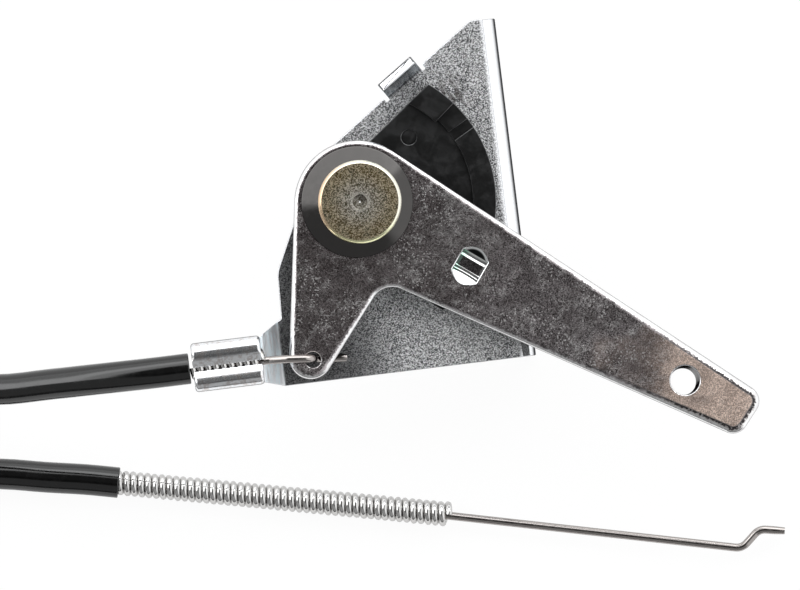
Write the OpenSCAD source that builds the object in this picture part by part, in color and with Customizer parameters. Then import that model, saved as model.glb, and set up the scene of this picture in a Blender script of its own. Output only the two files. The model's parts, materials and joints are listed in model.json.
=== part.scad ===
// Lever throttle control of a garden machine, with its push-pull cable.
// A lever turns on a shouldered rivet over a moulded detent plate and pulls a
// wire through a sheathed spiral conduit. Millimetres, +Z up. The bracket
// stands on the lower edge of its flange and the cable lies beside it.
// Plan dimensions are taken from the pivot, which is the centre of the rivet.

/* [Bracket] */
// Thickness of the bracket sheet
sheet_t = 1.5; // [1:0.1:2.5]
// Height of the plate's upper face above the flange's lower edge
flange_h = 18; // [15:1:24]
// Distance from the pivot to the outer face of the flange
flange_x = 25.2; // [25:0.2:32]
// Distance from the pivot to the upper end of the flange
plate_up = 26.8; // [26:0.2:34]
// Inner radius of the bend between plate and flange
bend_r = 1.0; // [0.5:0.1:1.5]
// Height of the stop tab above the plate
tab_h = 6.8; // [5:0.2:9]
// Lean of the stop tab from upright, in degrees
tab_lean = 10; // [0:1:20]
// Length of the stop tab along the plate's edge
tab_l = 7; // [4:0.5:8]

/* [Panel mounting] */
// Diameter of the two mounting holes in the flange
bolt_d = 6.5; // [5:0.1:7.5]
// Distance between the two mounting holes
bolt_pitch = 38; // [30:1:40]
// Height of the mounting holes above the flange's lower edge
bolt_z = 8; // [7:0.5:9]

/* [Cable clamp] */
// Length of the crimped clamp
clamp_l = 11.2; // [8:0.1:16]
// Overall width of the clamp
clamp_w = 7.9; // [7.5:0.1:9]
// Distance from the pivot to the mouth of the clamp
clamp_x = 18.75; // [18:0.25:24]
// Height of the cable's axis in the clamp above the plate's upper face
clamp_z = 6.6; // [6:0.1:8]
// Radius of the wider crimped lobe
wide_lobe_r = 1.9; // [1.5:0.1:2]
// Radius of the narrower crimped lobe
narrow_lobe_r = 1.5; // [1.3:0.1:1.6]

/* [Lever] */
// Thickness of the lever
lever_t = 2.3; // [2:0.1:3.2]
// Distance from the pivot to the tip of the long arm
arm_l = 72.5; // [60:0.1:90]
// Direction of the long arm at rest, in degrees
arm_a = -35.76; // [-38:0.01:-34]
// Width of the long arm at its tip
tip_w = 7.86; // [7:0.02:9]
// Radius of the lever's boss
boss_r = 10.2; // [9.8:0.1:11]
// Distance from the pivot to the knob hole
knob_l = 59.75; // [50:0.25:59.75]
// Diameter of the knob hole
knob_d = 4.76; // [4:0.01:5]
// Distance from the pivot to the wire hole in the short arm
crank_l = 26.53; // [24:0.01:27]
// Direction of the short arm at rest, in degrees
crank_a = 246.45; // [245:0.05:248]
// Diameter of the wire hole
wire_hole_d = 2.5; // [2:0.1:3]
// Radius from the pivot to the centre of the detent lance
lance_r = 20.5; // [20:0.1:20.9]
// Depth of the detent lance below the lever
lance_h = 1.1; // [0.6:0.1:1.2]

/* [Detent plate] */
// Thickness of the moulded base
base_t = 2.0; // [1.5:0.1:3]
// Outer radius of the sector
sector_r = 22; // [21.5:0.1:22.5]
// Height of the rim above the base
rim_h = 1.2; // [0.8:0.1:1.6]
// Radial width of the rim
rim_w = 3.8; // [3.4:0.1:4]
// Direction of the detent notch, in degrees
notch_a = 28.6; // [24:0.2:32]
// Width of the detent notch
notch_w = 1.6; // [1.4:0.1:2]
// Height of the stop blocks above the rim
stop_h = 0.9; // [0.5:0.1:1]

/* [Rivet and spring washer] */
// Diameter of the rivet's shank
shank_d = 8; // [6:0.1:9.6]
// Diameter of the rivet's head
head_d = 13.5; // [12.5:0.1:16.2]
// Thickness of the rivet's head
head_t = 2.2; // [1.5:0.1:3]
// Outer diameter of the spring washer
washer_d = 18; // [15:0.5:19]
// Thickness of the spring washer
washer_t = 0.8; // [0.6:0.1:1]
// Rise of the spring washer's cone
washer_rise = 0.6; // [0.4:0.1:1]

/* [Cable] */
// Diameter of the inner wire
wire_d = 1.2; // [1:0.05:1.3]
// Outer diameter of the spiral conduit
conduit_d = 4.08; // [3.8:0.02:4.2]
// Distance from one turn of the spiral to the next
spiral_pitch = 1.15; // [1.1:0.01:1.4]
// Outer diameter of the sheath
sheath_d = 5; // [4.6:0.1:5.4]
// Length of bare spiral conduit at the far end
bare_l = 54.3; // [30:0.1:60]
// Length of bare wire beyond the spiral conduit
bare_wire_l = 47.3; // [36:0.1:60]

/* [Hidden] */
$fn = 64;

// Clearances between pieces
run_gap = 0.05;
seat_gap = 0.15;
lance_gap = 0.1;

// Heights, from the flange's lower edge upwards
plate_z = flange_h;
base_z = plate_z + base_t;
rim_z = base_z + rim_h;
lever_z = rim_z + lance_gap + lance_h;
lever_top = lever_z + lever_t;
head_z = lever_top + washer_rise + washer_t;
clamp_axis_z = plate_z + clamp_z;

// Rivet
shank_r = shank_d / 2;
bore_r = shank_r + run_gap;
tail_r = shank_r + 2;
tail_t = 1.5;
head_bevel = 0.6;

// Plan positions measured from the pivot
wire_hole = crank_l * [cos(crank_a), sin(crank_a)];
knob_a = -35.74;
knob_hole = knob_l * [cos(knob_a), sin(knob_a)];
clamp_y = wire_hole[1] + 1.03;
plate_down = clamp_y - 4.7;
bend_out = bend_r + sheet_t;
plate_right = flange_x - bend_out;

// Lever outline, as sharp corners with their radii
arm_tip = arm_l * [cos(arm_a), sin(arm_a)];
tip_a = arm_a + 85.8;
tip_r = 2;
tip_low = arm_tip - tip_w / 2 * [cos(tip_a), sin(tip_a)];
tip_high = arm_tip + tip_w / 2 * [cos(tip_a), sin(tip_a)];
crank_end = wire_hole - [5.8, 11.95];
inner_corner = [2.27, -13.2];
boss_mid = [-0.4, -0.2];
boss_a = way_of(crank_end - boss_mid) - acos(boss_r / norm(crank_end - boss_mid));
boss_b = way_of(tip_high - boss_mid) + acos(boss_r / norm(tip_high - boss_mid));
boss_side_a = [cos(boss_a), sin(boss_a)];
boss_side_b = [cos(boss_b), sin(boss_b)];
boss_corner = boss_mid + boss_r * (boss_side_a + boss_side_b) / (1 + boss_side_a * boss_side_b);
lever_corners = [
    [boss_corner[0], boss_corner[1], boss_r],
    [crank_end[0], crank_end[1], 3.5],
    [inner_corner[0], inner_corner[1], 3],
    [tip_low[0], tip_low[1], tip_r],
    [tip_high[0], tip_high[1], tip_r]];
lance_a = -37.8;
lance_w = 4.3;
lance_flat = 1.3;
lance_run = 1.9;

// Bracket outline
top_lip = 0.2;
tab_edge_a = 34.4;
tab_foot = [9.45, 18.2];
relief_w = 0.7;
relief_l = 1.2;
jog_run = 3.25;
neck_w = clamp_w - 0.5;
neck_root = [plate_down - clamp_y, 5.8];
plate_corners = [
    [plate_right + 0.5, plate_down, 0],
    [plate_right + 0.5, plate_up + top_lip, 0],
    [21.0, plate_up, 1],
    [-6.9, 7.0, 3],
    [-10.3, -0.5, 4],
    [-14.6, -9.6, 4],
    [-14.9, clamp_y + neck_root[1] + 0.3, 0.6],
    [-clamp_x + jog_run, clamp_y + neck_root[1], 0],
    [-clamp_x + jog_run, plate_down, 0]];

// Clamp section, about the cable's axis
clamp_wall = 1.25;
seat_r = conduit_d / 2 + run_gap;
lobe_top = seat_r + 0.65;
clamp_floor = seat_r + clamp_wall;
clamp_edge = 1.2;

// Detent plate
stop_in_r = sector_r - rim_w - 0.5;
up_edge_a = 37.2;
up_edge = [2.98, 9.7];
up_stop_a = 39.5;
low_end_a = -56;
low_stop_a = -50;
hub_r = shank_r + 3.6;

// Spiral conduit
strand_r = spiral_pitch / 2 - 0.02;
spiral_r = conduit_d / 2 - strand_r;

// Far strand of the cable, which lies straight on the floor
lay_z = sheath_d / 2;
far_a = -12.46;
conduit_tip = [8.66, -52.04, lay_z];
far_dir = [cos(far_a), sin(far_a), 0];
sheath_tip = conduit_tip - bare_l * far_dir;
wire_a = far_a - 0.87;
wire_dir = [cos(wire_a), sin(wire_a), 0];
wire_mouth = conduit_tip + 0.25 * [sin(far_a), -cos(far_a), 0];
wire_bend = wire_mouth + bare_wire_l * wire_dir;
wire_inside = 5;
wire_bend_r = 1.4;

// Coil of the length put away, beyond the bracket's clamp side
coil_c = [-118, -30];
coil_mid_r = 25;
coil_rows = 2;
tie_t = 0.4;
tie_w = 3;

// Routes of the two runs of sheath, as points chosen by hand
near_route = [
    [-30.5, -23.3, 24.6], [-37, -23.3, 24.5], [-45, -23.2, 22.6], [-53, -23.1, 18.9],
    [-62, -22.9, 14.6], [-71, -21, 11.2], [-79, -16.6, 9.2], [-86, -10.6, 8.4],
    [-93.5, -5.4, 8], [-102, -3, 7.9], [-110, -2.5, 7.9], [-118, -2.5, 7.9]];
far_route = [
    [-118, -57.5, 2.9], [-110, -57.5, 2.8], [-102, -57.1, 2.5], [-94, -54.4, 2.5],
    [-87.5, -48.8, 2.5], [-81.5, -42.2, 2.5], [-75.5, -37.5, 2.5], [-69, -36, 2.5],
    [-62.5, -36.7, 2.5], [-56, -38, 2.5]];

// Origin under the middle of the lever and bracket
x_low = -clamp_x - clamp_l;
x_high = corner_mid(tip_low, tip_high, boss_corner, tip_r)[0] + tip_r;
y_low = corner_mid(inner_corner, tip_low, tip_high, tip_r)[1] - tip_r;
y_high = plate_up + top_lip;
middle = [(x_low + x_high) / 2, (y_low + y_high) / 2];

// Unit vector, direction and turn helpers for outlines and routes
function unit(v) = v / norm(v);
function way_of(v) = atan2(v[1], v[0]);
function turn_of(a, b, c) = cross(b - a, c - b);
function flat(p) = [p[0], p[1]];

// Centre of the arc of radius r that rounds corner b
function corner_mid(a, b, c, r) =
    let (u = unit(a - b), v = unit(c - b)) b + unit(u + v) * r / sin(acos(u * v) / 2);

// Points of one rounded corner, going from corner a by b to c
function corner_arc(a, b, c, r, n) =
    let (u = unit(a - b), v = unit(c - b),
         half = acos(u * v) / 2,
         side = sign(turn_of(a, b, c)),
         mid = corner_mid(a, b, c, r),
         start = b + u * r / tan(half) - mid,
         sweep = 180 - 2 * half)
    [for (i = [0 : n]) let (t = side * sweep * i / n)
        mid + [start[0] * cos(t) - start[1] * sin(t), start[0] * sin(t) + start[1] * cos(t)]];

// Outline of a list of corners, each with its radius as third number
function rounded(list) =
    [for (i = [0 : len(list) - 1])
        let (a = list[(i + len(list) - 1) % len(list)], b = list[i], c = list[(i + 1) % len(list)])
        each (b[2] > 0 ? corner_arc(flat(a), flat(b), flat(c), b[2], b[2] > 5 ? 16 : 8) : [flat(b)])];

// Ring of points about p, square to direction d and turned by reference ref
function ring(p, d, r, n, ref) =
    let (side = unit(cross(ref, d)), up = cross(d, side))
    [for (i = [0 : n - 1]) p + r * (cos(360 * i / n) * side + sin(360 * i / n) * up)];

// Direction of a route at one of its points
function along(route, i) =
    unit(route[min(i + 1, len(route) - 1)] - route[max(i - 1, 0)]);

// Route through points, with every corner rounded by an arc of one radius
function bent_route(points, bend, n = 6) =
    let (last = len(points) - 1)
    [points[0],
     for (i = [1 : last - 1])
        let (u = unit(points[i] - points[i - 1]), v = unit(points[i + 1] - points[i]),
             turn = acos(u * v), out = cross(u, unit(cross(u, v))),
             hub = points[i] - u * bend * tan(turn / 2) - out * bend)
        each [for (k = [0 : n]) hub + bend * (cos(turn * k / n) * out + sin(turn * k / n) * u)],
     points[last]];

// Closed tube of n sides through the points of a route
module tube(route, r, n, ref = [0, 0, 1]) {
    last = len(route) - 1;
    points = [for (i = [0 : last]) each ring(route[i], along(route, i), r, n, ref)];
    sides = [for (i = [0 : last - 1], k = [0 : n - 1])
        let (j = (k + 1) % n, a = i * n, b = a + n)
        each [[a + k, b + k, b + j], [a + k, b + j, a + j]]];
    polyhedron(points, concat([[for (k = [0 : n - 1]) k]], sides, [[for (k = [n - 1 : -1 : 0]) last * n + k]]));
}

// Spiral of round wire along +X, from the origin to length l
module spiral(l) {
    turns = floor((l - 2 * strand_r) / spiral_pitch);
    steps = 12 * turns;
    route = [for (i = [0 : steps])
        let (t = 30 * i)
        [strand_r + (l - 2 * strand_r) * i / steps, spiral_r * cos(t), spiral_r * sin(t)]];
    tube(route, strand_r, 6, [1, 0, 0]);
}

// Pie slice from angle a to angle b, as an outline
module slice(a, b, r) {
    polygon([[0, 0], for (i = [0 : 6]) r * [cos(a + (b - a) * i / 6), sin(a + (b - a) * i / 6)]]);
}

// Band between two radii, from angle a to angle b
module band(r_in, r_out, a, b) {
    intersection() {
        difference() {
            circle(r = r_out, $fn = 128);
            circle(r = r_in, $fn = 128);
        }
        slice(a, b, 2 * r_out);
    }
}

// Flat plate of the bracket
module bracket_plate() {
    translate([0, 0, plate_z - sheet_t])
        linear_extrude(sheet_t) polygon(rounded(plate_corners));
}

// Flange, with the bend that joins it to the plate, as one drawn section
module bracket_flange() {
    arc = [for (i = [0 : 8]) 90 - 90 * i / 8];
    section = [
        [plate_right - 0.2, plate_z - sheet_t], [plate_right - 0.2, plate_z],
        for (t = arc) [plate_right + bend_out * cos(t), plate_z - bend_out + bend_out * sin(t)],
        [flange_x, 0], [flange_x - sheet_t, 0],
        for (i = [8 : -1 : 0])
            [plate_right + bend_r * cos(arc[i]), plate_z - bend_out + bend_r * sin(arc[i])]];
    translate([0, plate_up, 0]) rotate([90, 0, 0])
        linear_extrude(plate_up - plate_down) polygon(section);
}

// Stop tab, bent up and leaning out from the plate's upper edge
module stop_tab() {
    lean = tab_h * tan(tab_lean);
    translate([tab_foot[0], tab_foot[1], plate_z])
        rotate([0, 0, tab_edge_a])
            rotate([90, 0, 90])
                translate([0, 0, -tab_l / 2])
                    linear_extrude(tab_l)
                        polygon([[-1.6, -sheet_t], [-1.6, 0], [-0.8, 0], [-0.3, 0.25], [0, 0.8],
                                 [lean, tab_h], [lean + sheet_t * cos(tab_lean), tab_h - 0.25],
                                 [sheet_t, 0.6], [1.0, -0.7], [0, -sheet_t]]);
}

// One crimped lobe, on side s of the cable's axis, and its hollow if inner
module lobe(s, r, inner = false) {
    translate([s * (clamp_w / 2 - r), lobe_top - r]) circle(r = inner ? r - clamp_wall : r);
}

// Section of the crimped clamp, about the cable's axis
module clamp_section() {
    wall_h = clamp_floor - clamp_edge + lobe_top - wide_lobe_r;
    slot_low = -clamp_w / 2 + 2 * narrow_lobe_r;
    slot_high = clamp_w / 2 - 2 * wide_lobe_r;
    difference() {
        union() {
            translate([-clamp_w / 2, -clamp_floor + clamp_edge]) square([clamp_w, wall_h]);
            translate([-clamp_w / 2 + clamp_edge, -clamp_floor]) square([clamp_w - 2 * clamp_edge, 2]);
            for (s = [-1, 1])
                translate([s * (clamp_w / 2 - clamp_edge), -clamp_floor + clamp_edge]) circle(r = clamp_edge);
            lobe(1, wide_lobe_r);
            lobe(-1, narrow_lobe_r);
            translate([-clamp_w / 2, 0]) square([clamp_wall, lobe_top - narrow_lobe_r]);
        }
        circle(r = seat_r);
        lobe(1, wide_lobe_r, true);
        lobe(-1, narrow_lobe_r, true);
        translate([slot_low, 0]) square([slot_high - slot_low, clamp_w]);
    }
}

// Clamp that is crimped round the spiral conduit
module cable_clamp() {
    translate([-clamp_x - clamp_l, clamp_y, clamp_axis_z])
        rotate([90, 0, 90]) linear_extrude(clamp_l) clamp_section();
}

// Neck that jogs up from the plate to the floor of the clamp
module clamp_neck() {
    floor_z = clamp_axis_z - clamp_floor;
    root_x = -clamp_x + jog_run;
    low_z = plate_z - sheet_t;
    intersection() {
        translate([0, clamp_y + clamp_w, 0]) rotate([90, 0, 0])
            linear_extrude(2 * clamp_w)
                polygon([[-clamp_x - 0.6, floor_z], [-clamp_x - 0.6, floor_z + clamp_wall],
                         [-clamp_x + 0.2, floor_z + clamp_wall], [-clamp_x + 0.7, floor_z + clamp_wall - 0.3],
                         [root_x - 0.5, plate_z + 0.3], [root_x, plate_z], [root_x + 0.6, plate_z],
                         [root_x + 0.6, low_z], [root_x - 0.9, low_z], [root_x - 1.4, low_z + 0.3],
                         [-clamp_x - 0.2, floor_z - 0.3], [-clamp_x - 0.4, floor_z]]);
        linear_extrude(2 * flange_h)
            polygon([[-clamp_x - 1, clamp_y - neck_w / 2], [-clamp_x, clamp_y - neck_w / 2],
                     [root_x, clamp_y + neck_root[0]], [root_x + 1, clamp_y + neck_root[0]],
                     [root_x + 1, clamp_y + neck_root[1]], [root_x, clamp_y + neck_root[1]],
                     [-clamp_x, clamp_y + neck_w / 2], [-clamp_x - 1, clamp_y + neck_w / 2]]);
    }
}

// Bracket: one piece of sheet with its flange, stop tab, neck and clamp
module bracket() {
    color("silver") translate([-middle[0], -middle[1], 0])
        difference() {
            union() {
                bracket_plate();
                bracket_flange();
                stop_tab();
                cable_clamp();
                clamp_neck();
            }
            translate([0, 0, plate_z - 2 * sheet_t]) cylinder(h = 3 * sheet_t, r = bore_r);
            for (s = [-1, 1])
                translate([flange_x - 2 * sheet_t, (plate_up + plate_down) / 2 + s * bolt_pitch / 2, bolt_z])
                    rotate([0, 90, 0]) cylinder(h = 3 * sheet_t, d = bolt_d);
            for (s = [-1, 1])
                translate([tab_foot[0], tab_foot[1], plate_z - 2 * sheet_t])
                    rotate([0, 0, tab_edge_a])
                        translate([s * (tab_l / 2 + relief_w / 2) - relief_w / 2, -relief_l, 0])
                            cube([relief_w, 2 * relief_l, 3 * sheet_t]);
        }
}

// Outline of the detent plate
module detent_outline() {
    difference() {
        intersection() {
            circle(r = sector_r, $fn = 128);
            polygon([up_edge - 10 * [cos(up_edge_a), sin(up_edge_a)],
                     [-8.2, -1], [-4.6, -7.4], [2, -11.6],
                     1.2 * sector_r * [cos(low_end_a), sin(low_end_a)],
                     1.3 * sector_r * [cos(-20), sin(-20)], 1.3 * sector_r * [cos(20), sin(20)],
                     up_edge + 16 * [cos(up_edge_a), sin(up_edge_a)]]);
        }
        circle(r = bore_r);
    }
}

// Detent plate: moulded sector with a rim, a notch, two stops and a hub
module detent_plate() {
    color([0.07, 0.07, 0.08]) translate([-middle[0], -middle[1], plate_z])
        difference() {
            union() {
                linear_extrude(base_t) detent_outline();
                linear_extrude(base_t + rim_h) intersection() {
                    detent_outline();
                    band(sector_r - rim_w, sector_r, low_end_a, 60);
                }
                linear_extrude(base_t + rim_h + stop_h) intersection() {
                    detent_outline();
                    union() {
                        band(stop_in_r, sector_r, up_stop_a, 60);
                        band(stop_in_r, sector_r, low_end_a, low_stop_a);
                    }
                }
                linear_extrude(lever_z - run_gap - plate_z) difference() {
                    circle(r = hub_r);
                    circle(r = bore_r);
                }
            }
            rotate([0, 0, notch_a])
                translate([sector_r - rim_w - 0.3, -notch_w / 2, base_t + 0.2])
                    cube([rim_w + 1, notch_w, rim_h + stop_h]);
            translate([9.1, 9.4, base_t - 0.2]) difference() {
                cylinder(h = 1, d = 2.45);
                translate([0, 0, -0.5]) cylinder(h = 2, d = 1.9);
            }
        }
}

// Strip of the lance, a shallow trough pressed down between two radial cuts
module lance_strip() {
    half = lance_flat / 2;
    foot = half + lance_run;
    skin = lever_t - 0.4;
    rotate([0, 0, lance_a]) translate([lance_r - lance_w / 2, 0, 0])
        rotate([90, 0, 90]) linear_extrude(lance_w)
            polygon([[-foot - 0.6, lever_z], [-foot, lever_z], [-half, lever_z - lance_h],
                     [half, lever_z - lance_h], [foot, lever_z], [foot + 0.6, lever_z],
                     [foot + 0.6, lever_top], [foot, lever_top], [half, lever_z - lance_h + skin],
                     [-half, lever_z - lance_h + skin], [-foot, lever_top], [-foot - 0.6, lever_top]]);
}

// Lever: stamped plate with a lance, a wire hole and a knob hole
module lever() {
    color("gainsboro") translate([-middle[0], -middle[1], 0])
        union() {
            difference() {
                translate([0, 0, lever_z]) linear_extrude(lever_t) polygon(rounded(lever_corners));
                translate([0, 0, lever_z - 1]) cylinder(h = lever_t + 2, r = bore_r);
                translate([wire_hole[0], wire_hole[1], lever_z - 1]) cylinder(h = lever_t + 2, d = wire_hole_d);
                translate([knob_hole[0], knob_hole[1], lever_z - 1]) cylinder(h = lever_t + 2, d = knob_d);
                rotate([0, 0, lance_a])
                    translate([lance_r - lance_w / 2 - 0.05, -lance_flat / 2 - lance_run, lever_z - 1])
                        cube([lance_w + 0.1, lance_flat + 2 * lance_run, lever_t + 2]);
            }
            lance_strip();
        }
}

// Spring washer: a shallow cone that presses the lever on to the hub
module spring_washer() {
    in_r = shank_r + run_gap;
    out_r = washer_d / 2;
    color([0.1, 0.1, 0.11]) translate([-middle[0], -middle[1], lever_top])
        rotate_extrude()
            polygon([[in_r, washer_rise], [in_r, washer_rise + washer_t], [head_d / 2, washer_rise + washer_t],
                     [out_r - 0.3, washer_t], [out_r, washer_t - 0.3], [out_r, 0], [out_r - 0.6, 0]]);
}

// Rivet: bevelled head with a dimple, plain shank and upset tail
module pivot_rivet() {
    head_r = head_d / 2;
    color([0.72, 0.6, 0.32]) translate([-middle[0], -middle[1], 0])
        rotate_extrude()
            polygon([[0, plate_z - sheet_t - tail_t], [tail_r - 0.8, plate_z - sheet_t - tail_t],
                     [tail_r, plate_z - sheet_t - tail_t + 0.6], [tail_r, plate_z - sheet_t],
                     [shank_r, plate_z - sheet_t], [shank_r, head_z], [head_r, head_z],
                     [head_r, head_z + head_t - head_bevel], [head_r - head_bevel, head_z + head_t],
                     [1.4, head_z + head_t], [1.1, head_z + head_t - 0.25], [0.4, head_z + head_t - 0.4],
                     [0, head_z + head_t - 0.4]]);
}

// Spiral conduit as far as it shows in the clamp
module conduit_near_end() {
    color("lightgray") translate([-clamp_x - clamp_l - 0.6, clamp_y, clamp_axis_z] - [middle[0], middle[1], 0])
        spiral(clamp_l + 1.2);
}

// Wire from the clamp, over the short arm, down its hole and along under it
module wire_near_end() {
    over = lever_top + wire_d / 2 + seat_gap;
    under = lever_z - wire_d / 2 - seat_gap;
    leg = wire_hole + [0.1, 0.2];
    color("dimgray") translate([-middle[0], -middle[1], 0])
        tube(bent_route([[-clamp_x - clamp_l + 2, clamp_y - 0.1, clamp_axis_z],
                         [-clamp_x + 1.2, clamp_y - 0.25, clamp_axis_z],
                         [-clamp_x + 4.2, clamp_y - 0.42, over], [leg[0], leg[1], over],
                         [leg[0], leg[1], under], [leg[0] + 5.4, leg[1] - 0.5, under]],
                        wire_bend_r), wire_d / 2, 12, [0, 1, 0]);
}

// Sheath from the clamp down to the coil
module sheath_near_run() {
    color([0.05, 0.05, 0.05]) translate([-middle[0], -middle[1], 0]) tube(near_route, sheath_d / 2, 10);
}

// Outer shape of the coiled length
module sheath_coil() {
    half = coil_rows * sheath_d / 2;
    edge = sheath_d / 2;
    color([0.05, 0.05, 0.05]) translate([coil_c[0] - middle[0], coil_c[1] - middle[1], 0])
        rotate_extrude() translate([coil_mid_r, half + tie_t]) union() {
            square([2 * half, 2 * (half - edge)], center = true);
            square([2 * (half - edge), 2 * half], center = true);
            for (x = [-1, 1], y = [-1, 1])
                translate([x * (half - edge), y * (half - edge)]) circle(r = edge, $fn = 32);
        }
}

// Flat tie round the turns of the coil, on the side away from the lever
module coil_tie() {
    half = coil_rows * sheath_d / 2 + run_gap;
    color("white") translate([coil_c[0] - coil_mid_r - middle[0], coil_c[1] + tie_w / 2 - middle[1], half + tie_t - run_gap])
        rotate([90, 0, 0]) linear_extrude(tie_w) difference() {
            square(2 * (half + tie_t - run_gap), center = true);
            square(2 * half - 0.1 + 2 * run_gap, center = true);
        }
}

// Sheath from the coil to its cut end
module sheath_far_run() {
    color([0.05, 0.05, 0.05]) translate([-middle[0], -middle[1], 0])
        tube(concat(far_route, [sheath_tip - 2 * far_dir, sheath_tip]), sheath_d / 2, 10);
}

// Bare spiral conduit beyond the sheath
module conduit_far_end() {
    color("lightgray") translate(sheath_tip - [middle[0], middle[1], 0])
        rotate([0, 0, far_a]) spiral(bare_l);
}

// Wire from inside the conduit to its flat double bend
module wire_far_end() {
    color("dimgray") translate([-middle[0], -middle[1], 0])
        tube(bent_route([wire_mouth - wire_inside * wire_dir, wire_bend,
                         wire_bend + [3.12, 2.74, 0], wire_bend + [7.2, 1.96, 0]],
                        wire_bend_r), wire_d / 2, 12);
}

bracket();
detent_plate();
lever();
spring_washer();
pivot_rivet();
conduit_near_end();
wire_near_end();
sheath_near_run();
sheath_coil();
coil_tie();
sheath_far_run();
conduit_far_end();
wire_far_end();
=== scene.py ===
"""Looks of a lever throttle control with its push-pull cable.

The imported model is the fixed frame. Every piece here is drawn in millimetres
from the lever's pivot, as in the part's source, and is then placed in the
frame in metres. Heights are from the floor, which the bracket stands on.
"""

from __future__ import annotations

import json
import logging
import math
from collections.abc import Mapping, Sequence
from dataclasses import dataclass
from enum import Enum

import bmesh
import bpy
from bmesh.types import BMEdge, BMesh, BMVert
from mathutils import Matrix, Vector

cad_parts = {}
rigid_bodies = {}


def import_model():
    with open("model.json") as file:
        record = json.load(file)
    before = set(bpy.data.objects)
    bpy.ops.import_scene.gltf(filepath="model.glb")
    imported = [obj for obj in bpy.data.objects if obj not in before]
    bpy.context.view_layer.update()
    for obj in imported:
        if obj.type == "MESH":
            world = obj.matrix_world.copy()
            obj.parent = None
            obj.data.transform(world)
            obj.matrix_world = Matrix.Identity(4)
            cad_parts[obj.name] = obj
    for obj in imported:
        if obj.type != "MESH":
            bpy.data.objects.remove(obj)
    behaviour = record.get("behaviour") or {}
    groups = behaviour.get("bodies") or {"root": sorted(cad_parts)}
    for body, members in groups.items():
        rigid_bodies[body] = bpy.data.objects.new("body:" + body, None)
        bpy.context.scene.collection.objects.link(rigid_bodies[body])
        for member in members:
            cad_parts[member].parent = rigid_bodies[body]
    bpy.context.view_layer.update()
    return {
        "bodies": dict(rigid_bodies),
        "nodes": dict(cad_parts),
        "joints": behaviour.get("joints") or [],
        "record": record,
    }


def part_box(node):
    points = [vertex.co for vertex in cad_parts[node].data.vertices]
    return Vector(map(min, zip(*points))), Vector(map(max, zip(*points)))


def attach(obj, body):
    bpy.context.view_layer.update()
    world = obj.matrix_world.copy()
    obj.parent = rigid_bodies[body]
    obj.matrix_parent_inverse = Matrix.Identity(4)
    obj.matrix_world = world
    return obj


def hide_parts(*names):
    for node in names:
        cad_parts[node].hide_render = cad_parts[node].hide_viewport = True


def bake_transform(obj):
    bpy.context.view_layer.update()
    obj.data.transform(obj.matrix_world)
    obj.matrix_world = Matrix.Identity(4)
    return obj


log = logging.getLogger("throttle_cable")

MM = 0.001
FULL_TURN = 2 * math.pi
SHARP_FOLD = 0.6
MERGE_MM = 1e-4
TUBE_SIDES = 20

Colour = tuple[float, float, float]
Place = tuple[float, float]
Point = tuple[float, float, float]
BLACK: Colour = (0, 0, 0)
WHITE: Colour = (1, 1, 1)


class Body(Enum):
    """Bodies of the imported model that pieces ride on."""

    ROOT = "root"
    LEVER = "lever"
    FAR_WIRE = "far_wire"


class Slot(Enum):
    """Material slots of the record."""

    ZINC_SHEET = "zinc_sheet"
    ZINC_LEVER = "zinc_lever"
    BLACK_PLASTIC = "black_plastic"
    BLACK_STEEL = "black_steel"
    YELLOW_ZINC = "yellow_zinc"
    SPIRAL = "bright_spiral"
    WIRE = "wire_steel"
    SHEATH = "black_sheath"
    TIE = "tie_plastic"


class Signal:
    """A node's output, with which sums are written as with plain numbers."""

    def __init__(self, graph: Graph, socket: bpy.types.NodeSocket) -> None:
        """Keeps the output and the tree that it is in."""
        self.graph = graph
        self.socket = socket

    def __add__(self, other: Signal | float) -> Signal:
        """Returns the sum."""
        return self.graph.math("ADD", self, other)

    def __sub__(self, other: Signal | float) -> Signal:
        """Returns the difference."""
        return self.graph.math("SUBTRACT", self, other)

    def __rsub__(self, other: float) -> Signal:
        """Returns a number less this."""
        return self.graph.math("SUBTRACT", other, self)

    def __mul__(self, other: Signal | float) -> Signal:
        """Returns the product."""
        return self.graph.math("MULTIPLY", self, other)

    def __or__(self, other: Signal | float) -> Signal:
        """Returns the greater of the two."""
        return self.graph.math("MAXIMUM", self, other)

    def step(self, low: float, high: float, to: Sequence[float] = (0, 1)) -> Signal:
        """Returns a smooth step between two results, from low to high."""
        ends = dict(zip(("From Min", "From Max", "To Min", "To Max"), (low, high, *to)))
        return self.graph.add("MapRange", {"Value": self, **ends}, interpolation_type="SMOOTHSTEP")


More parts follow.
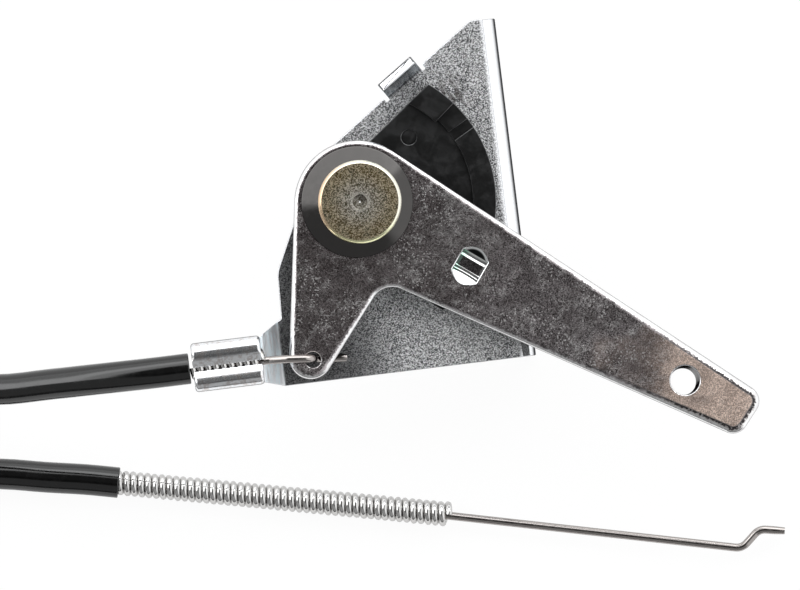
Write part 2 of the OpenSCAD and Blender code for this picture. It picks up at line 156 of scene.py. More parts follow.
class Graph:
    """A shader's node tree, with short calls for what the finishes share.

    Places and directions are in the frame, in metres. Sizes that end in _mm
    are in millimetres.
    """

    def __init__(self, owner: bpy.types.Material | bpy.types.World) -> None:
        """Starts an empty tree.

        Args:
            owner: The material or world that the tree belongs to.
        """
        owner.use_nodes = True
        self.tree = owner.node_tree
        self.tree.nodes.clear()

    def feed(self, socket: bpy.types.NodeSocket, value: object) -> None:
        """Links a signal into an input, or writes a plain value on it.

        Args:
            socket: The input.
            value: A signal, a number, a vector or a colour.
        """
        if isinstance(value, Signal):
            self.tree.links.new(value.socket, socket)
        else:
            socket.default_value = (*value, 1) if socket.type == "RGBA" else value

    def add(
        self,
        kind: str,
        inputs: Mapping[str | int, object] | None = None,
        output: str | int = 0,
        **settings: object,
    ) -> Signal:
        """Adds a node.

        Args:
            kind: The node's type, without its ShaderNode prefix.
            inputs: What goes into its inputs, by their names or numbers.
            output: Name or number of the output that is wanted.
            settings: Attributes to set on the node.

        Returns:
            The wanted output.
        """
        made = self.tree.nodes.new("ShaderNode" + kind)
        for name, value in settings.items():
            setattr(made, name, value)
        for place, value in (inputs or {}).items():
            self.feed(made.inputs[place], value)
        return Signal(self, made.outputs[output])

    def end(self, kind: str, shader: Signal) -> None:
        """Ends the tree in an output node of a kind."""
        self.feed(self.tree.nodes.new("ShaderNode" + kind).inputs["Surface"], shader)

    def math(self, operation: str, a: Signal | float, b: Signal | float = 0.0, clamp: bool = False) -> Signal:
        """Returns the result of a Math node, between 0 and 1 if it is clamped."""
        return self.add("Math", {0: a, 1: b}, operation=operation, use_clamp=clamp)

    def vector(self, operation: str, a: Signal, b: Signal | Sequence[float]) -> Signal:
        """Returns the vector of a Vector Math node, or the number of a product or distance."""
        output = "Value" if operation in ("DOT_PRODUCT", "DISTANCE") else "Vector"
        return self.add("VectorMath", {0: a, 1: b}, output, operation=operation)

    def mix(self, share: Signal, a: Signal | Colour, b: Signal | Colour) -> Signal:
        """Returns a mix of two colours, in which b has a share."""
        return self.add("Mix", {0: share, 6: a, 7: b}, 2, data_type="RGBA")

    def place(
        self, at: Sequence[float] = (0, 0, 0), turn: float = 0.0, stretch: Sequence[float] = (1, 1, 1)
    ) -> Signal:
        """Returns object coordinates, centred, turned and stretched.

        Args:
            at: The pattern's centre.
            turn: Its angle about Z, in degrees.
            stretch: Scale along its own axes.

        Returns:
            The coordinates.
        """
        centred = self.vector("SUBTRACT", self.add("TexCoord", output="Object"), at)
        rotation = (0, 0, math.radians(-turn))
        turned = self.add("Mapping", {"Vector": centred, "Rotation": rotation}, vector_type="POINT")
        return self.vector("MULTIPLY", turned, stretch)

    def noise(
        self, where: Signal, size_mm: float, detail: float = 2.0, rough: float = 0.5, warp: float = 0.0
    ) -> Signal:
        """Returns a noise.

        Args:
            where: Coordinates.
            size_mm: Size of its patches.
            detail: Octaves.
            rough: Strength of the finer octaves.
            warp: Distortion.

        Returns:
            The noise, about 0.5 in the middle.
        """
        settings = {"Scale": 1 / (size_mm * MM), "Detail": detail, "Roughness": rough, "Distortion": warp}
        return self.add("TexNoise", {"Vector": where, **settings})

    def cells(self, where: Signal, size_mm: float) -> Signal:
        """Returns a pattern of small crystals, each with its own value from 0 to 1."""
        colour = self.add("TexVoronoi", {"Vector": where, "Scale": 1 / (size_mm * MM)}, "Color")
        return self.add("SeparateColor", {0: colour})

    def scratches(self, where: Signal, size_mm: float, width: float) -> Signal:
        """Returns thin wandering lines, where a noise crosses its middle value.

        Args:
            where: Coordinates.
            size_mm: How far the lines run before they turn.
            width: Their width, as a share of the noise's range.

        Returns:
            A mask that is 1 on a line and 0 beside it.
        """
        off = self.noise(where, size_mm, 1.0, 0.4, 0.8) - 0.5
        return self.math("ABSOLUTE", off).step(0.0, width, (1, 0))

    def lean(self) -> Signal:
        """Returns the height of the mesh's normal, 1 on level faces and 0 on upright ones."""
        return self.add("SeparateXYZ", {0: self.add("NewGeometry", output="Normal")}, 2)

    def level(self) -> Signal:
        """Returns a mask of level faces, which is 0 on edges and slopes."""
        return self.lean().step(0.965, 0.995)

    def rim(self, start: float, walls: bool = False) -> Signal:
        """Returns a mask of the steep stretch of rounded edges, just before they are upright.

        Args:
            start: Height of the normal where the mask is full; it fades above that.
            walls: True to count upright faces in.

        Returns:
            The mask.
        """
        lean = self.lean()
        steep = lean.step(start, start + 0.25, (1, 0))
        return steep if walls else steep * lean.step(0.0, 0.04)

    def reach(
        self, where: Signal, at: Sequence[float], way: Sequence[float], low_mm: float, high_mm: float
    ) -> Signal:
        """Returns a mask that rises along a direction.

        Args:
            where: Coordinates.
            at: Where the direction starts.
            way: The direction, a unit vector.
            low_mm: Distance at which the mask starts.
            high_mm: Distance at which it is full.

        Returns:
            The mask.
        """
        along = self.vector("DOT_PRODUCT", self.vector("SUBTRACT", where, at), way)
        return along.step(low_mm * MM, high_mm * MM)

    def away(
        self, where: Signal, at: Sequence[float], near_mm: float, far_mm: float, strength: float = 1.0
    ) -> Signal:
        """Returns a round spot.

        Args:
            where: Coordinates.
            at: The spot's centre.
            near_mm: Radius inside which the spot is full.
            far_mm: Radius at which it ends.
            strength: Its value inside.

        Returns:
            The spot.
        """
        return self.vector("DISTANCE", where, at).step(near_mm * MM, far_mm * MM, (strength, 0))

    def bump(self, height: Signal, micrometres: float, below: Signal | None = None) -> Signal:
        """Returns a bump.

        Args:
            height: Height from 0 to 1.
            micrometres: Real depth of the pattern.
            below: Normal to build on, if any.

        Returns:
            The normal.
        """
        base = {} if below is None else {"Normal": below}
        return self.add("Bump", {"Strength": 1.0, "Distance": micrometres * 1e-6, "Height": height, **base})

    def surface(self, colour: Signal, roughness: Signal, normal: Signal, **others: Signal | float) -> None:
        """Ends the tree in a Principled shader.

        Args:
            colour: Base colour.
            roughness: Roughness.
            normal: Normal.
            others: What goes into the shader's other inputs, by name with _ for a space.
        """
        named = {name.replace("_", " "): value for name, value in others.items()}
        inputs = {"Base Color": colour, "Roughness": roughness, "Normal": normal, **named}
        self.end("OutputMaterial", self.add("BsdfPrincipled", inputs))


@dataclass(frozen=True)
class Finish:
    """A named finish that is made into a material, with its slot in the record."""

    name: str
    slot: Slot

    def material(self) -> bpy.types.Material:
        """Gives the finish's material, made on its first use.

        Returns:
            The material.
        """
        found = bpy.data.materials.get(self.name)
        if found is None:
            found = bpy.data.materials.new(self.name)
            self.paint(Graph(found))
        return found

    def paint(self, graph: Graph) -> None:
        """Fills the material's tree."""
        raise NotImplementedError


@dataclass(frozen=True)
class PlatedFinish(Finish):
    """Plated or drawn steel: grain on the level faces, cloudy patches and smoother, brighter edges.

    The grain is a noise with small crystals in it, from dark to light. A rim
    is a line painted along the steep side of a rounded edge: a dark tone there is
    painted shade that stands in for a dark reflection, and a light tone is a
    painted highlight.
    """

    dark: Colour
    light: Colour
    edge: Colour
    grain_mm: float
    grain_range: tuple[float, float]
    cloud_mm: float
    cloud_share: float
    rough: tuple[float, float]
    grain_um: float
    wave_um: float = 0.0
    edge_rough: float = 0.16
    cell_mm: float = 0.16
    cell_share: float = 0.0
    # Painted rims along steep rounded edges: painted shade when the tone is dark, a painted highlight when it
    # is light.
    painted_rim_share: float = 0.0
    rim_start: float = 0.15
    rim_walls: bool = False
    painted_rim_tone: Colour = (0.05, 0.05, 0.05)

    def grain(self, graph: Graph, where: Signal) -> tuple[Signal, Signal]:
        """Makes the grain and the plating's colour.

        Args:
            graph: The tree.
            where: Coordinates.

        Returns:
            The grain, from 0 to 1, and the colour.
        """
        fine = graph.noise(where, self.grain_mm, 3.0, 0.65)
        if self.cell_share:
            fine = fine + (graph.cells(where, self.cell_mm) - 0.5) * self.cell_share
        cloud = graph.noise(where, self.cloud_mm, 3.0, 0.6, 0.6)
        grain = (fine + (cloud - 0.5) * self.cloud_share).step(*self.grain_range)
        return grain, graph.mix(grain, self.dark, self.light)

    def edge_roughness(self, graph: Graph, where: Signal) -> Signal:
        """Returns the roughness of edges and slopes."""
        return graph.noise(where, 0.9, 2.0).step(0.3, 0.7, (self.edge_rough, self.edge_rough + 0.07))

    def join(
        self,
        graph: Graph,
        worn: Signal,
        face: tuple[Signal, Signal],
        rest: tuple[Signal, Signal],
        rim: Signal,
        normal: Signal,
        metallic: Signal | float = 1.0,
    ) -> None:
        """Ends the tree with one look on the level faces and another on edges and slopes.

        Args:
            graph: The tree.
            worn: Mask of the level faces.
            face: Their colour and roughness.
            rest: The others' colour and roughness.
            rim: Mask of the painted rims, which mirror nothing so that their painted tone shows.
            normal: The normal of both.
            metallic: How metallic both are.
        """
        colour = graph.mix(worn, rest[0], face[0])
        rough = face[1] * worn + rest[1] * (1.0 - worn)
        # The rims' reflection is tinted black, so that their painted tone shows.
        graph.surface(colour, rough, normal, Metallic=metallic, Specular_Tint=graph.mix(rim, WHITE, BLACK))

    def finished(
        self, graph: Graph, where: Signal, colour: Signal, roughness: Signal, height: Signal, worn: Signal
    ) -> None:
        """Ends the tree, with plain burnished edges and slopes.

        Args:
            graph: The tree.
            where: Coordinates.
            colour: Colour of the level faces.
            roughness: Roughness of the level faces.
            height: Height of the grain, from 0 to 1.
            worn: Mask of the level faces.
        """
        smooth = graph.mix(graph.noise(where, 1.4, 3.0).step(0.35, 0.7, (0, 0.35)), self.edge, self.light)
        # Painted rims: painted shade in a dark tone, a painted highlight in a light one.
        rim = graph.rim(self.rim_start, self.rim_walls) * self.painted_rim_share
        smooth = graph.mix(rim, smooth, self.painted_rim_tone)
        normal = graph.bump(height * worn, self.grain_um)
        if self.wave_um:
            normal = graph.bump(graph.noise(where, 6.0), self.wave_um, normal)
        self.join(graph, worn, (colour, roughness), (smooth, self.edge_roughness(graph, where)), rim, normal)

    def paint(self, graph: Graph) -> None:
        """Fills the material's tree.

        Args:
            graph: The tree to fill.
        """
        where = graph.place()
        grain, colour = self.grain(graph, where)
        self.finished(graph, where, colour, grain.step(0, 1, self.rough), grain, graph.level())


@dataclass(frozen=True, kw_only=True)
class SheetFinish(PlatedFinish):
    """Bracket sheet: salt-and-pepper zinc, shaded by the lever's boss, burnished at the neck and clamp.

    Its zones are at distances from the pivot, in millimetres. The neck's
    streaks are a painted bluish-white sheen.
    """

    pivot: Vector
    neck_end: float = -15.5
    clamp_start: float = 18.6
    tab_foot: float = 18.3
    fold: float = 22.95
    fold_um: float = 260.0
    shade_end: float = -6.5
    shaded: Colour = (0.05, 0.05, 0.052)
    lit_at: Point = (14, -20, 18)
    lit: tuple[Colour, Colour] = ((0.2, 0.2, 0.205), WHITE)
    stain_at: Point = (16.5, 15.5, 18)
    stained: Colour = (0.1, 0.085, 0.08)
    neck_painted_sheen: Colour = (0.85, 0.95, 1.0)
    tab_inside: Colour = (0.3, 0.37, 0.42)
    clamp_marks: Colour = (0.5, 0.42, 0.38)

    def faces(self, graph: Graph, where: Signal, grain: Signal, colour: Signal) -> Signal:
        """Shades, lights and stains the level faces.

        Args:
            graph: The tree.
            where: Coordinates.
            grain: The grain.
            colour: The plating's colour.

        Returns:
            The colour of the level faces.
        """
        dark, clear = self.shade_end - 8.0, self.shade_end + 4.0
        open_side = graph.reach(where, self.pivot, (0.94, 0.34, 0), dark, clear)
        colour = graph.mix((1.0 - open_side) * 0.72, colour, self.shaded)
        lit = graph.away(where, self.pivot + Vector(self.lit_at) * MM, 3.0, 11.0, 0.6)
        colour = graph.mix(lit, colour, graph.mix(grain, *self.lit))
        stain = graph.away(where, self.pivot + Vector(self.stain_at) * MM, 0.5, 4.5, 0.75)
        blot = graph.noise(graph.place(turn=-70, stretch=(0.5, 1.6, 1)), 1.5, 2.0).step(0.42, 0.6)
        return graph.mix(stain * blot, colour, self.stained)

    def paint(self, graph: Graph) -> None:
        """Fills the material's tree.

        Args:
            graph: The tree to fill.
        """
        where = graph.place()
        grain, colour = self.grain(graph, where)
        colour = self.faces(graph, where, grain, colour)

        def past(way: Sequence[float], start: float, end: float) -> Signal:
            """Returns a mask of what is past a distance from the pivot."""
            return graph.reach(where, self.pivot, way, start, end)

        body = past((1, 0, 0), self.neck_end - 0.3, self.neck_end + 0.2)
        clamp = past((-1, 0, 0), self.clamp_start, self.clamp_start + 0.6)
        neck = graph.math("SUBTRACT", 1.0 - body, clamp, clamp=True)
        fold = past((1, 0, 0), self.fold - 0.7, self.fold + 0.5)
        tab = body * past((0, 0, 1), self.tab_foot, self.tab_foot + 0.9)
        worn = graph.level() * body * (1.0 - (fold | tab))
        lean = graph.lean()
        # Painted shade: dark rims, a dark line along the flange's fold and a dark outline round the stop
        # tab's top.
        tab_rim = lean.step(0.24, 0.3) * lean.step(0.78, 0.88, (1, 0))
        tab_wall = tab * lean.step(0.24, 0.3, (1, 0))
        rim = graph.rim(self.rim_start) | (fold * graph.rim(0.42))
        rim = graph.mix(tab, rim, tab_rim) * self.painted_rim_share
        streaks = graph.noise(graph.place(stretch=(1, 0.12, 0.3)), 0.5, 3.0, 0.6)
        patchy = graph.noise(where, 0.9, 4.0, 0.7).step(0.46, 0.62, (0, 0.5))
        # Painted sheen: bluish-white streaks on the neck.
        smooth = graph.mix(neck * streaks.step(0.42, 0.62), self.edge, self.neck_painted_sheen)
        smooth = graph.mix(tab_wall * streaks.step(0.3, 0.65, (1.0, 0.5)), smooth, self.tab_inside)
        smooth = graph.mix(rim, smooth, self.painted_rim_tone)
        smooth = graph.mix(clamp * patchy, smooth, self.clamp_marks)
        rough = self.edge_roughness(graph, where) | (neck * streaks.step(0.3, 0.7, (0.62, 0.42)))
        normal = graph.bump(grain * worn, self.grain_um)
        normal = graph.bump(1.0 - past((1, 0, 0), self.fold - 0.6, self.fold + 1.2), self.fold_um, normal)
        # The neck's painted sheen is made less metallic so that it stays bright.
        metallic = 1.0 - neck * streaks.step(0.4, 0.6, (0.1, 0.9))
        self.join(graph, worn, (colour, grain.step(0, 1, self.rough)), (smooth, rough), rim, normal, metallic)


@dataclass(frozen=True, kw_only=True)
class LeverFinish(PlatedFinish):
    """Handled zinc plate of the lever: brown towards the tip, rubbed beside the lance and the boss."""

    tip: Vector
    boss: Vector
    lance: Vector
    lance_a: float
    rubs: tuple[tuple[float, float, float, float], ...]
    warm: tuple[Colour, Colour] = ((0.24, 0.17, 0.14), (1.0, 0.81, 0.7))
    # Colour of the stain patches, and of the painted shade towards the boss.
    stained: Colour = (0.1, 0.08, 0.078)
    mark: Colour = (1.0, 0.98, 0.97)
    pressed: tuple[Colour, Colour] = ((0.6, 0.85, 0.73), (0.9, 0.91, 0.9))
    # Painted shade in the lance's sunk middle.
    lance_middle_shade: Colour = (0.05, 0.05, 0.05)
    slope: Colour = (0.92, 0.93, 0.93)
    # Painted shade in the inner part of the lance's upper crescent.
    crescent_shade: Colour = (0.012, 0.013, 0.013)
    # Painted shade: the dark line along the rolled edge's shoulder.
    shoulder_shade_line: Colour = (0.03, 0.028, 0.028)
    lance_rough: float = 0.16

    def marks(self, graph: Graph, where: Signal) -> Signal:
        """Draws the scratches, specks and rubbed patches of use.

        Args:
            graph: The tree.
            where: Coordinates.

        Returns:
            Their mask.
        """
        lines = graph.scratches(where, 1.7, 0.02)
        for turn, stretch, size, width in ((50, 2.6, 3.0, 0.014), (-30, 1.7, 0.9, 0.035)):
            lines = lines | graph.scratches(graph.place(turn=turn, stretch=(1, stretch, 1)), size, width)
        lines = lines * graph.noise(where, 2.2, 3.0).step(0.46, 0.66, (0.1, 0.75))
        specks = graph.noise(where, 0.3, 0.0).step(0.66, 0.74) * graph.noise(where, 6.0, 1.0).step(0.4, 0.6)
        marks = lines | specks
        hazy = graph.noise(graph.place(turn=65, stretch=(1, 0.35, 1)), 0.45, 4.0, 0.75, 1.5).step(0.42, 0.72)
        for x, y, size, strength in self.rubs:
            marks = marks | (graph.away(where, (x, y, self.tip.z), 0.2 * size, size, strength) * hazy)
        return marks

    def paint(self, graph: Graph) -> None:
        """Fills the material's tree.

        Args:
            graph: The tree to fill.
        """
        where = graph.place()
        level, lean = graph.level(), graph.lean()
        grain, colour = self.grain(graph, where)
        patch = (graph.noise(where, 7.0, 3.0) - 0.5) * (26 * MM)
        near_tip = (graph.vector("DISTANCE", where, self.tip) + patch).step(9 * MM, 27 * MM, (1, 0))
        colour = graph.mix(near_tip, colour, graph.mix(grain.step(-0.35, 0.8), *self.warm))
        stain = graph.noise(where, 8.0, 3.0, 0.5, 1.0).step(0.48, 0.7, (0, 0.45))
        # Painted shade: darker towards the boss; the noise adds real stain patches.
        colour = graph.mix(stain | graph.away(where, self.boss, 12.0, 30.0, 0.5), colour, self.stained)
        marks = self.marks(graph, where) * (1.0 - near_tip * 0.85)
        colour = graph.mix(marks * 0.72, colour, self.mark)
        rough = grain.step(0, 1, self.rough) + near_tip * 0.14
        across, along = (raised(unit(self.lance_a + turn), 0) for turn in (0, 90))

        def within(way: Vector, low: float, high: float) -> Signal:
            """Returns a mask of the places between two distances from the lance's middle."""
            start, end = (graph.reach(where, self.lance, way, at - 0.03, at + 0.03) for at in (low, high))
            return start - end

        strip = within(across, -2.19, 2.19) * within(along, -1.96, 1.96)
        middle = within(across, -1.75, 1.95) * within(along, -0.78, 0.97)
        ridges = strip * (1.0 - middle)
        opening = graph.away(where, self.lance, 3.3, 3.6)
        slope = graph.math("MULTIPLY", opening - strip, 1.0 - level, clamp=True)
        # Painted shade in the inner part of the lance's upper crescent.
        shaded_crescent = slope * within(along, 1.7, 3.2) * graph.away(where, self.lance + along * 0.64 * MM, 2.1, 2.4)
        bright_side = graph.reach(where, self.lance, across, -1.9, -0.7)
        # Painted shade in the lance's sunk middle.
        colour = graph.mix(middle * 0.75, colour, self.lance_middle_shade)
        colour = graph.mix(ridges, colour, graph.mix(bright_side, *self.pressed))
        colour = graph.mix(slope, colour, self.slope)
        colour = graph.mix(shaded_crescent, colour, self.crescent_shade)
        burnished = ridges | slope
        rough = graph.mix(burnished, rough, (self.lance_rough,) * 3)
        height = (grain + marks * 1.5) * (1.0 - burnished)

        # Painted along the rolled edge's shoulder: a lighter band, and a dark line of painted shade in
        # patches and near the tip.
        ragged = lean + (graph.noise(where, 0.35, 3.0) - 0.5) * 0.3
        shoulder = ragged.step(0.87, 0.97) * lean.step(0.985, 0.998, (1, 0)) * (1.0 - opening)
        patchy = graph.noise(where, 1.6, 3.0).step(0.4, 0.62, (0.15, 0.8))
        strong = shoulder * (patchy | (near_tip * 0.95))
        colour = graph.mix(strong, graph.mix(shoulder, colour, self.light), self.shoulder_shade_line)
        self.finished(graph, where, colour, rough, height, level | slope | strip | shoulder)


@dataclass(frozen=True, kw_only=True)
class RivetFinish(Finish):
    """Yellow zinc plate on a turned rivet: dark olive flecked with grey, and a golden bevel.

    Colours in pairs are those by the centre and by the rim, or away from the
    golden side of the bevel and on it. The bevel is pale on most of the ring as a
    painted highlight, and golden and yellow-green on its dimmer lower-left side.
    Radii are in millimetres.
    """

    centre: Vector
    face_r: float
    base: tuple[Colour, Colour] = ((0.15, 0.13, 0.1), (0.1, 0.075, 0.035))
    patches: Colour = (0.1, 0.09, 0.06)
    flecks: tuple[Colour, Colour] = ((0.7, 0.66, 0.58), (0.57, 0.48, 0.33))
    # Painted shade in the dimple; the next colour is a painted light ring round it.
    dimple: Colour = (0.05, 0.045, 0.035)
    dimple_highlight: Colour = (0.75, 0.72, 0.66)
    bevel: tuple[Colour, Colour] = ((0.93, 0.91, 0.79), (0.9, 0.67, 0.45))
    bevel_green: Colour = (1.0, 1.0, 0.6)

    def face(self, graph: Graph, where: Signal, out: Signal, speck: Signal) -> Signal:
        """Paints the head's face with its turned rings and its dimple.

        Args:
            graph: The tree.
            where: Coordinates from the head's centre.
            out: Distance from the axis, in millimetres.
            speck: The plating's specks.

        Returns:
            The face's colour.
        """
        middle = out.step(1.2, 5.4)
        base = graph.mix(middle, *self.base)
        base = graph.mix(graph.noise(where, 2.4, 3.0, 0.6, 0.5).step(0.42, 0.62), base, self.patches)
        turning = {"Vector": where, "Scale": 560.0, "Distortion": 3.5, "Detail": 3.0, "Detail Scale": 4.0}
        rings = graph.add("TexWave", turning, "Fac", wave_type="RINGS", rings_direction="Z")
        shown = (speck + (rings - 0.5) * 0.05).step(0.76, 1.06)
        face = graph.mix(shown, base, graph.mix(middle, *self.flecks))
        # Painted shade in the dimple.
        pit = out.step(1.05, 1.2, (1, 0)) * out.step(0.14, 0.2)
        face = graph.mix(pit * 0.6, face, self.dimple)
        # Painted highlight: a light ring round the dimple.
        dimple_highlight = out.step(1.12, 1.28) * out.step(1.3, 1.9, (1, 0))
        face = graph.mix(dimple_highlight * 0.4, face, self.dimple_highlight)
        # Painted highlight: a white glint at the dimple's centre.
        return graph.mix(out.step(0.12, 0.18, (1, 0)), face, WHITE)

    def paint(self, graph: Graph) -> None:
        """Fills the material's tree.

        Args:
            graph: The tree to fill.
        """
        where = graph.place(self.centre)
        x, y = (graph.add("SeparateXYZ", {0: where}, axis) for axis in (0, 1))
        out = graph.math("SQRT", x * x + y * y) * (1 / MM)
        speck = graph.noise(where, 0.16, 3.0, 0.7) + graph.cells(where, 0.14) * 0.7
        around = graph.math("ARCTAN2", y, x)
        # Painted highlight on the bevel: pale on its lit side, golden and yellow-green on its dimmer
        # lower-left side.
        golden, green = (graph.math("COSINE", around - angle) for angle in (3.3, 4.7))
        bevel = graph.mix(golden.step(-0.2, 0.9), *self.bevel)
        bevel = graph.mix(green.step(0.3, 1.0, (0, 0.85)), bevel, self.bevel_green)
        rim = out.step(self.face_r - 0.1, self.face_r + 0.06)
        colour = graph.mix(rim, self.face(graph, where, out, speck), bevel)
        normal = graph.bump(speck * (1.0 - rim), 8.0)
        graph.surface(colour, rim.step(0, 1, (0.38, 0.2)), normal, Metallic=1.0)


@dataclass(frozen=True)
class MouldedFinish(Finish):
    """Moulded or extruded plastic: a colour with faint mottling, a fine grain and edges that catch light."""

    colour: Colour
    pale: Colour
    rough: tuple[float, float]
    grain_mm: float = 0.25
    grain_um: float = 4.0
    patch_mm: float = 4.0
    specular: float = 0.5
    edge_lit: Colour | None = None
    edge_dim: Colour = (0.001, 0.001, 0.001)

    def paint(self, graph: Graph) -> None:
        """Fills the material's tree.

        Args:
            graph: The tree to fill.
        """
        where = graph.place()
        patch = graph.noise(where, self.patch_mm, 4.0, 0.65, 0.7)
        colour = graph.mix(patch.step(0.4, 0.75), self.colour, self.pale)
        if self.edge_lit:
            lean = graph.lean()
            rounded = lean.step(0.1, 0.35) * lean.step(0.95, 0.995, (1, 0))
            facing = graph.vector("DOT_PRODUCT", graph.add("NewGeometry", output="Normal"), (0.8, 0.6, 0))
            edge = graph.mix(facing.step(-0.25, 0.3, (0.1, 1.0)), self.edge_dim, self.edge_lit)
            colour = graph.mix(rounded, colour, edge)
        normal = graph.bump(graph.noise(where, self.grain_mm, 2.0, 0.6), self.grain_um)
        graph.surface(colour, patch.step(0.35, 0.7, self.rough), normal, Specular_IOR_Level=self.specular)


def unit(angle: float) -> Vector:
    """Returns the plan direction at an angle in degrees."""
    return Vector((math.cos(math.radians(angle)), math.sin(math.radians(angle))))


def raised(point: Sequence[float], height: float) -> Vector:
    """Returns a plan point at a height."""
    return Vector((point[0], point[1], height))


def limited(value: float, low: float, high: float) -> float:
    """Returns how far a value is from low to high, from 0 to 1."""
    return min(1.0, max(0.0, (value - low) / (high - low)))


def circle(centre: Sequence[float], radius: float, height: float, count: int) -> list[Vector]:
    """Returns the points of a level circle, anticlockwise from +X."""
    return [raised(Vector(centre[:2]) + radius * unit(360 * i / count), height) for i in range(count)]


@dataclass(frozen=True)
class Outline:
    """A plan outline of sharp corners, each with its radius, listed anticlockwise."""

    corners: tuple[tuple[float, float, float], ...]
    steps: int

    def moved(self, inset: float) -> list[Vector]:
        """Lists the sharp corners after every side has moved inwards.

        Args:
            inset: How far the sides move.

        Returns:
            The corners in plan.
        """
        sharp = [Vector(corner[:2]) for corner in self.corners]
        lines = []
        for here, after in zip(sharp, sharp[1:] + sharp[:1]):
            way = (after - here).normalized()
            lines.append((here + inset * Vector((-way.y, way.x)), way))
        pairs = zip(lines[-1:] + lines[:-1], lines)
        return [p + (q - p).cross(v) / u.cross(v) * u for (p, u), (q, v) in pairs]

    def points(self, inset: float) -> list[Vector]:
        """Lists the rounded outline's points.

        Args:
            inset: How far inside the outline they lie.

        Returns:
            The points in plan, the same number for every inset.
        """
        corners = self.moved(inset)
        made = []
        for i, here in enumerate(corners):
            before, after = corners[i - 1], corners[(i + 1) % len(corners)]
            u, v = (before - here).normalized(), (after - here).normalized()
            half = u.angle(v) / 2
            turn = 1 if (here - before).cross(after - here) > 0 else -1
            radius = self.corners[i][2] - turn * inset
            hub = here + (u + v).normalized() * radius / math.sin(half)
            start = here + u * radius / math.tan(half) - hub
            sweep = turn * (math.pi - 2 * half)
            for k in range(self.steps + 1):
                turned = start.copy()
                turned.rotate(Matrix.Rotation(sweep * k / self.steps, 2))
                made.append(hub + turned)
        return made


class Shaper:
    """A mesh in the making, drawn in millimetres from the pivot."""

    def __init__(self) -> None:
        """Starts an empty mesh."""
        self.bm: BMesh = bmesh.new()
        self.creases: set[BMEdge] = set()

    def ring(self, points: Sequence[Vector]) -> list[BMVert]:
        """Draws a closed ring of edges through points.

        Args:
            points: The points.

        Returns:
            The ring's vertices.
        """
        verts = [self.bm.verts.new(p) for p in points]
        for pair in zip(verts, verts[1:] + verts[:1]):
            self.bm.edges.new(pair)
        return verts

    def edges(self, ring: Sequence[BMVert]) -> list[BMEdge]:
        """Returns the edges of a closed ring of vertices."""
        return [self.bm.edges.get(pair) for pair in zip(ring, [*ring[1:], ring[0]])]

    def grow(self, ring: Sequence[BMVert], targets: Sequence[Vector]) -> list[BMVert]:
        """Extrudes a ring and moves the new ring to its place.

        Args:
            ring: The ring's vertices.
            targets: A place for each of them.

        Returns:
            The new ring's vertices, in the same order.
        """
        made = bmesh.ops.extrude_edge_only(self.bm, edges=self.edges(ring))
        fresh = {v for v in made["geom"] if isinstance(v, BMVert)}
        grown = []
        for old, target in zip(ring, targets):
            vert = next(e.other_vert(old) for e in old.link_edges if e.other_vert(old) in fresh)
            vert.co = target
            grown.append(vert)
        return grown

    def loft(
        self, rings: Sequence[Sequence[Vector]], closed: bool = False
    ) -> tuple[list[BMVert], list[BMVert]]:
        """Joins rings of points into a skin.

        Args:
            rings: The rings, with as many points each.
            closed: Whether a face closes each end.

        Returns:
            The vertices of the first and of the last ring.
        """
        first = last = self.ring(rings[0])
        for points in rings[1:]:
            last = self.grow(last, points)
        if closed:
            self.bm.faces.new(first)
            self.bm.faces.new(last)
        return first, last

    def fill(self, rings: Sequence[Sequence[BMVert]]) -> None:
        """Fills the flat space inside the first ring and outside the others."""
        edges = [e for ring in rings for e in self.edges(ring)]
        bmesh.ops.triangle_fill(self.bm, use_beauty=True, use_dissolve=False, edges=edges)

    def turned(self, profile: Sequence[Place], steps: int) -> None:
        """Spins a profile about the upright axis through the pivot.

        Args:
            profile: Radii with their heights.
            steps: How many steps there are to the turn.
        """
        verts = [self.bm.verts.new((r, 0, z)) for r, z in profile]
        edges = [self.bm.edges.new(pair) for pair in zip(verts, verts[1:])]
        bmesh.ops.spin(
            self.bm, geom=[*verts, *edges], cent=(0, 0, 0), axis=(0, 0, 1), angle=FULL_TURN, steps=steps,
            use_merge=True,
        )  # fmt: skip
        bmesh.ops.remove_doubles(self.bm, verts=self.bm.verts, dist=MERGE_MM)

    def folds(self, longer: float = 0.0) -> list[BMEdge]:
        """Returns the sharp outward folds that are longer than a length."""
        inner = [e for e in self.bm.edges if len(e.link_faces) == 2 and e.calc_length() > longer]
        return [e for e in inner if e.calc_face_angle_signed(0) > SHARP_FOLD]

    def soften(self, edges: Sequence[BMEdge], width: float, segments: int) -> None:
        """Rounds some edges.

        Args:
            edges: The edges.
            width: How far the rounding reaches on each side.
            segments: Its steps.
        """
        bmesh.ops.bevel(
            self.bm, geom=list(edges), offset=width, offset_type="OFFSET", segments=segments, profile=0.5,
            affect="EDGES", clamp_overlap=False, material=-1,
        )  # fmt: skip

    def tidy(self) -> None:
        """Merges doubles and turns every face outwards."""
        bmesh.ops.remove_doubles(self.bm, verts=self.bm.verts, dist=MERGE_MM)
        bmesh.ops.recalc_face_normals(self.bm, faces=self.bm.faces)


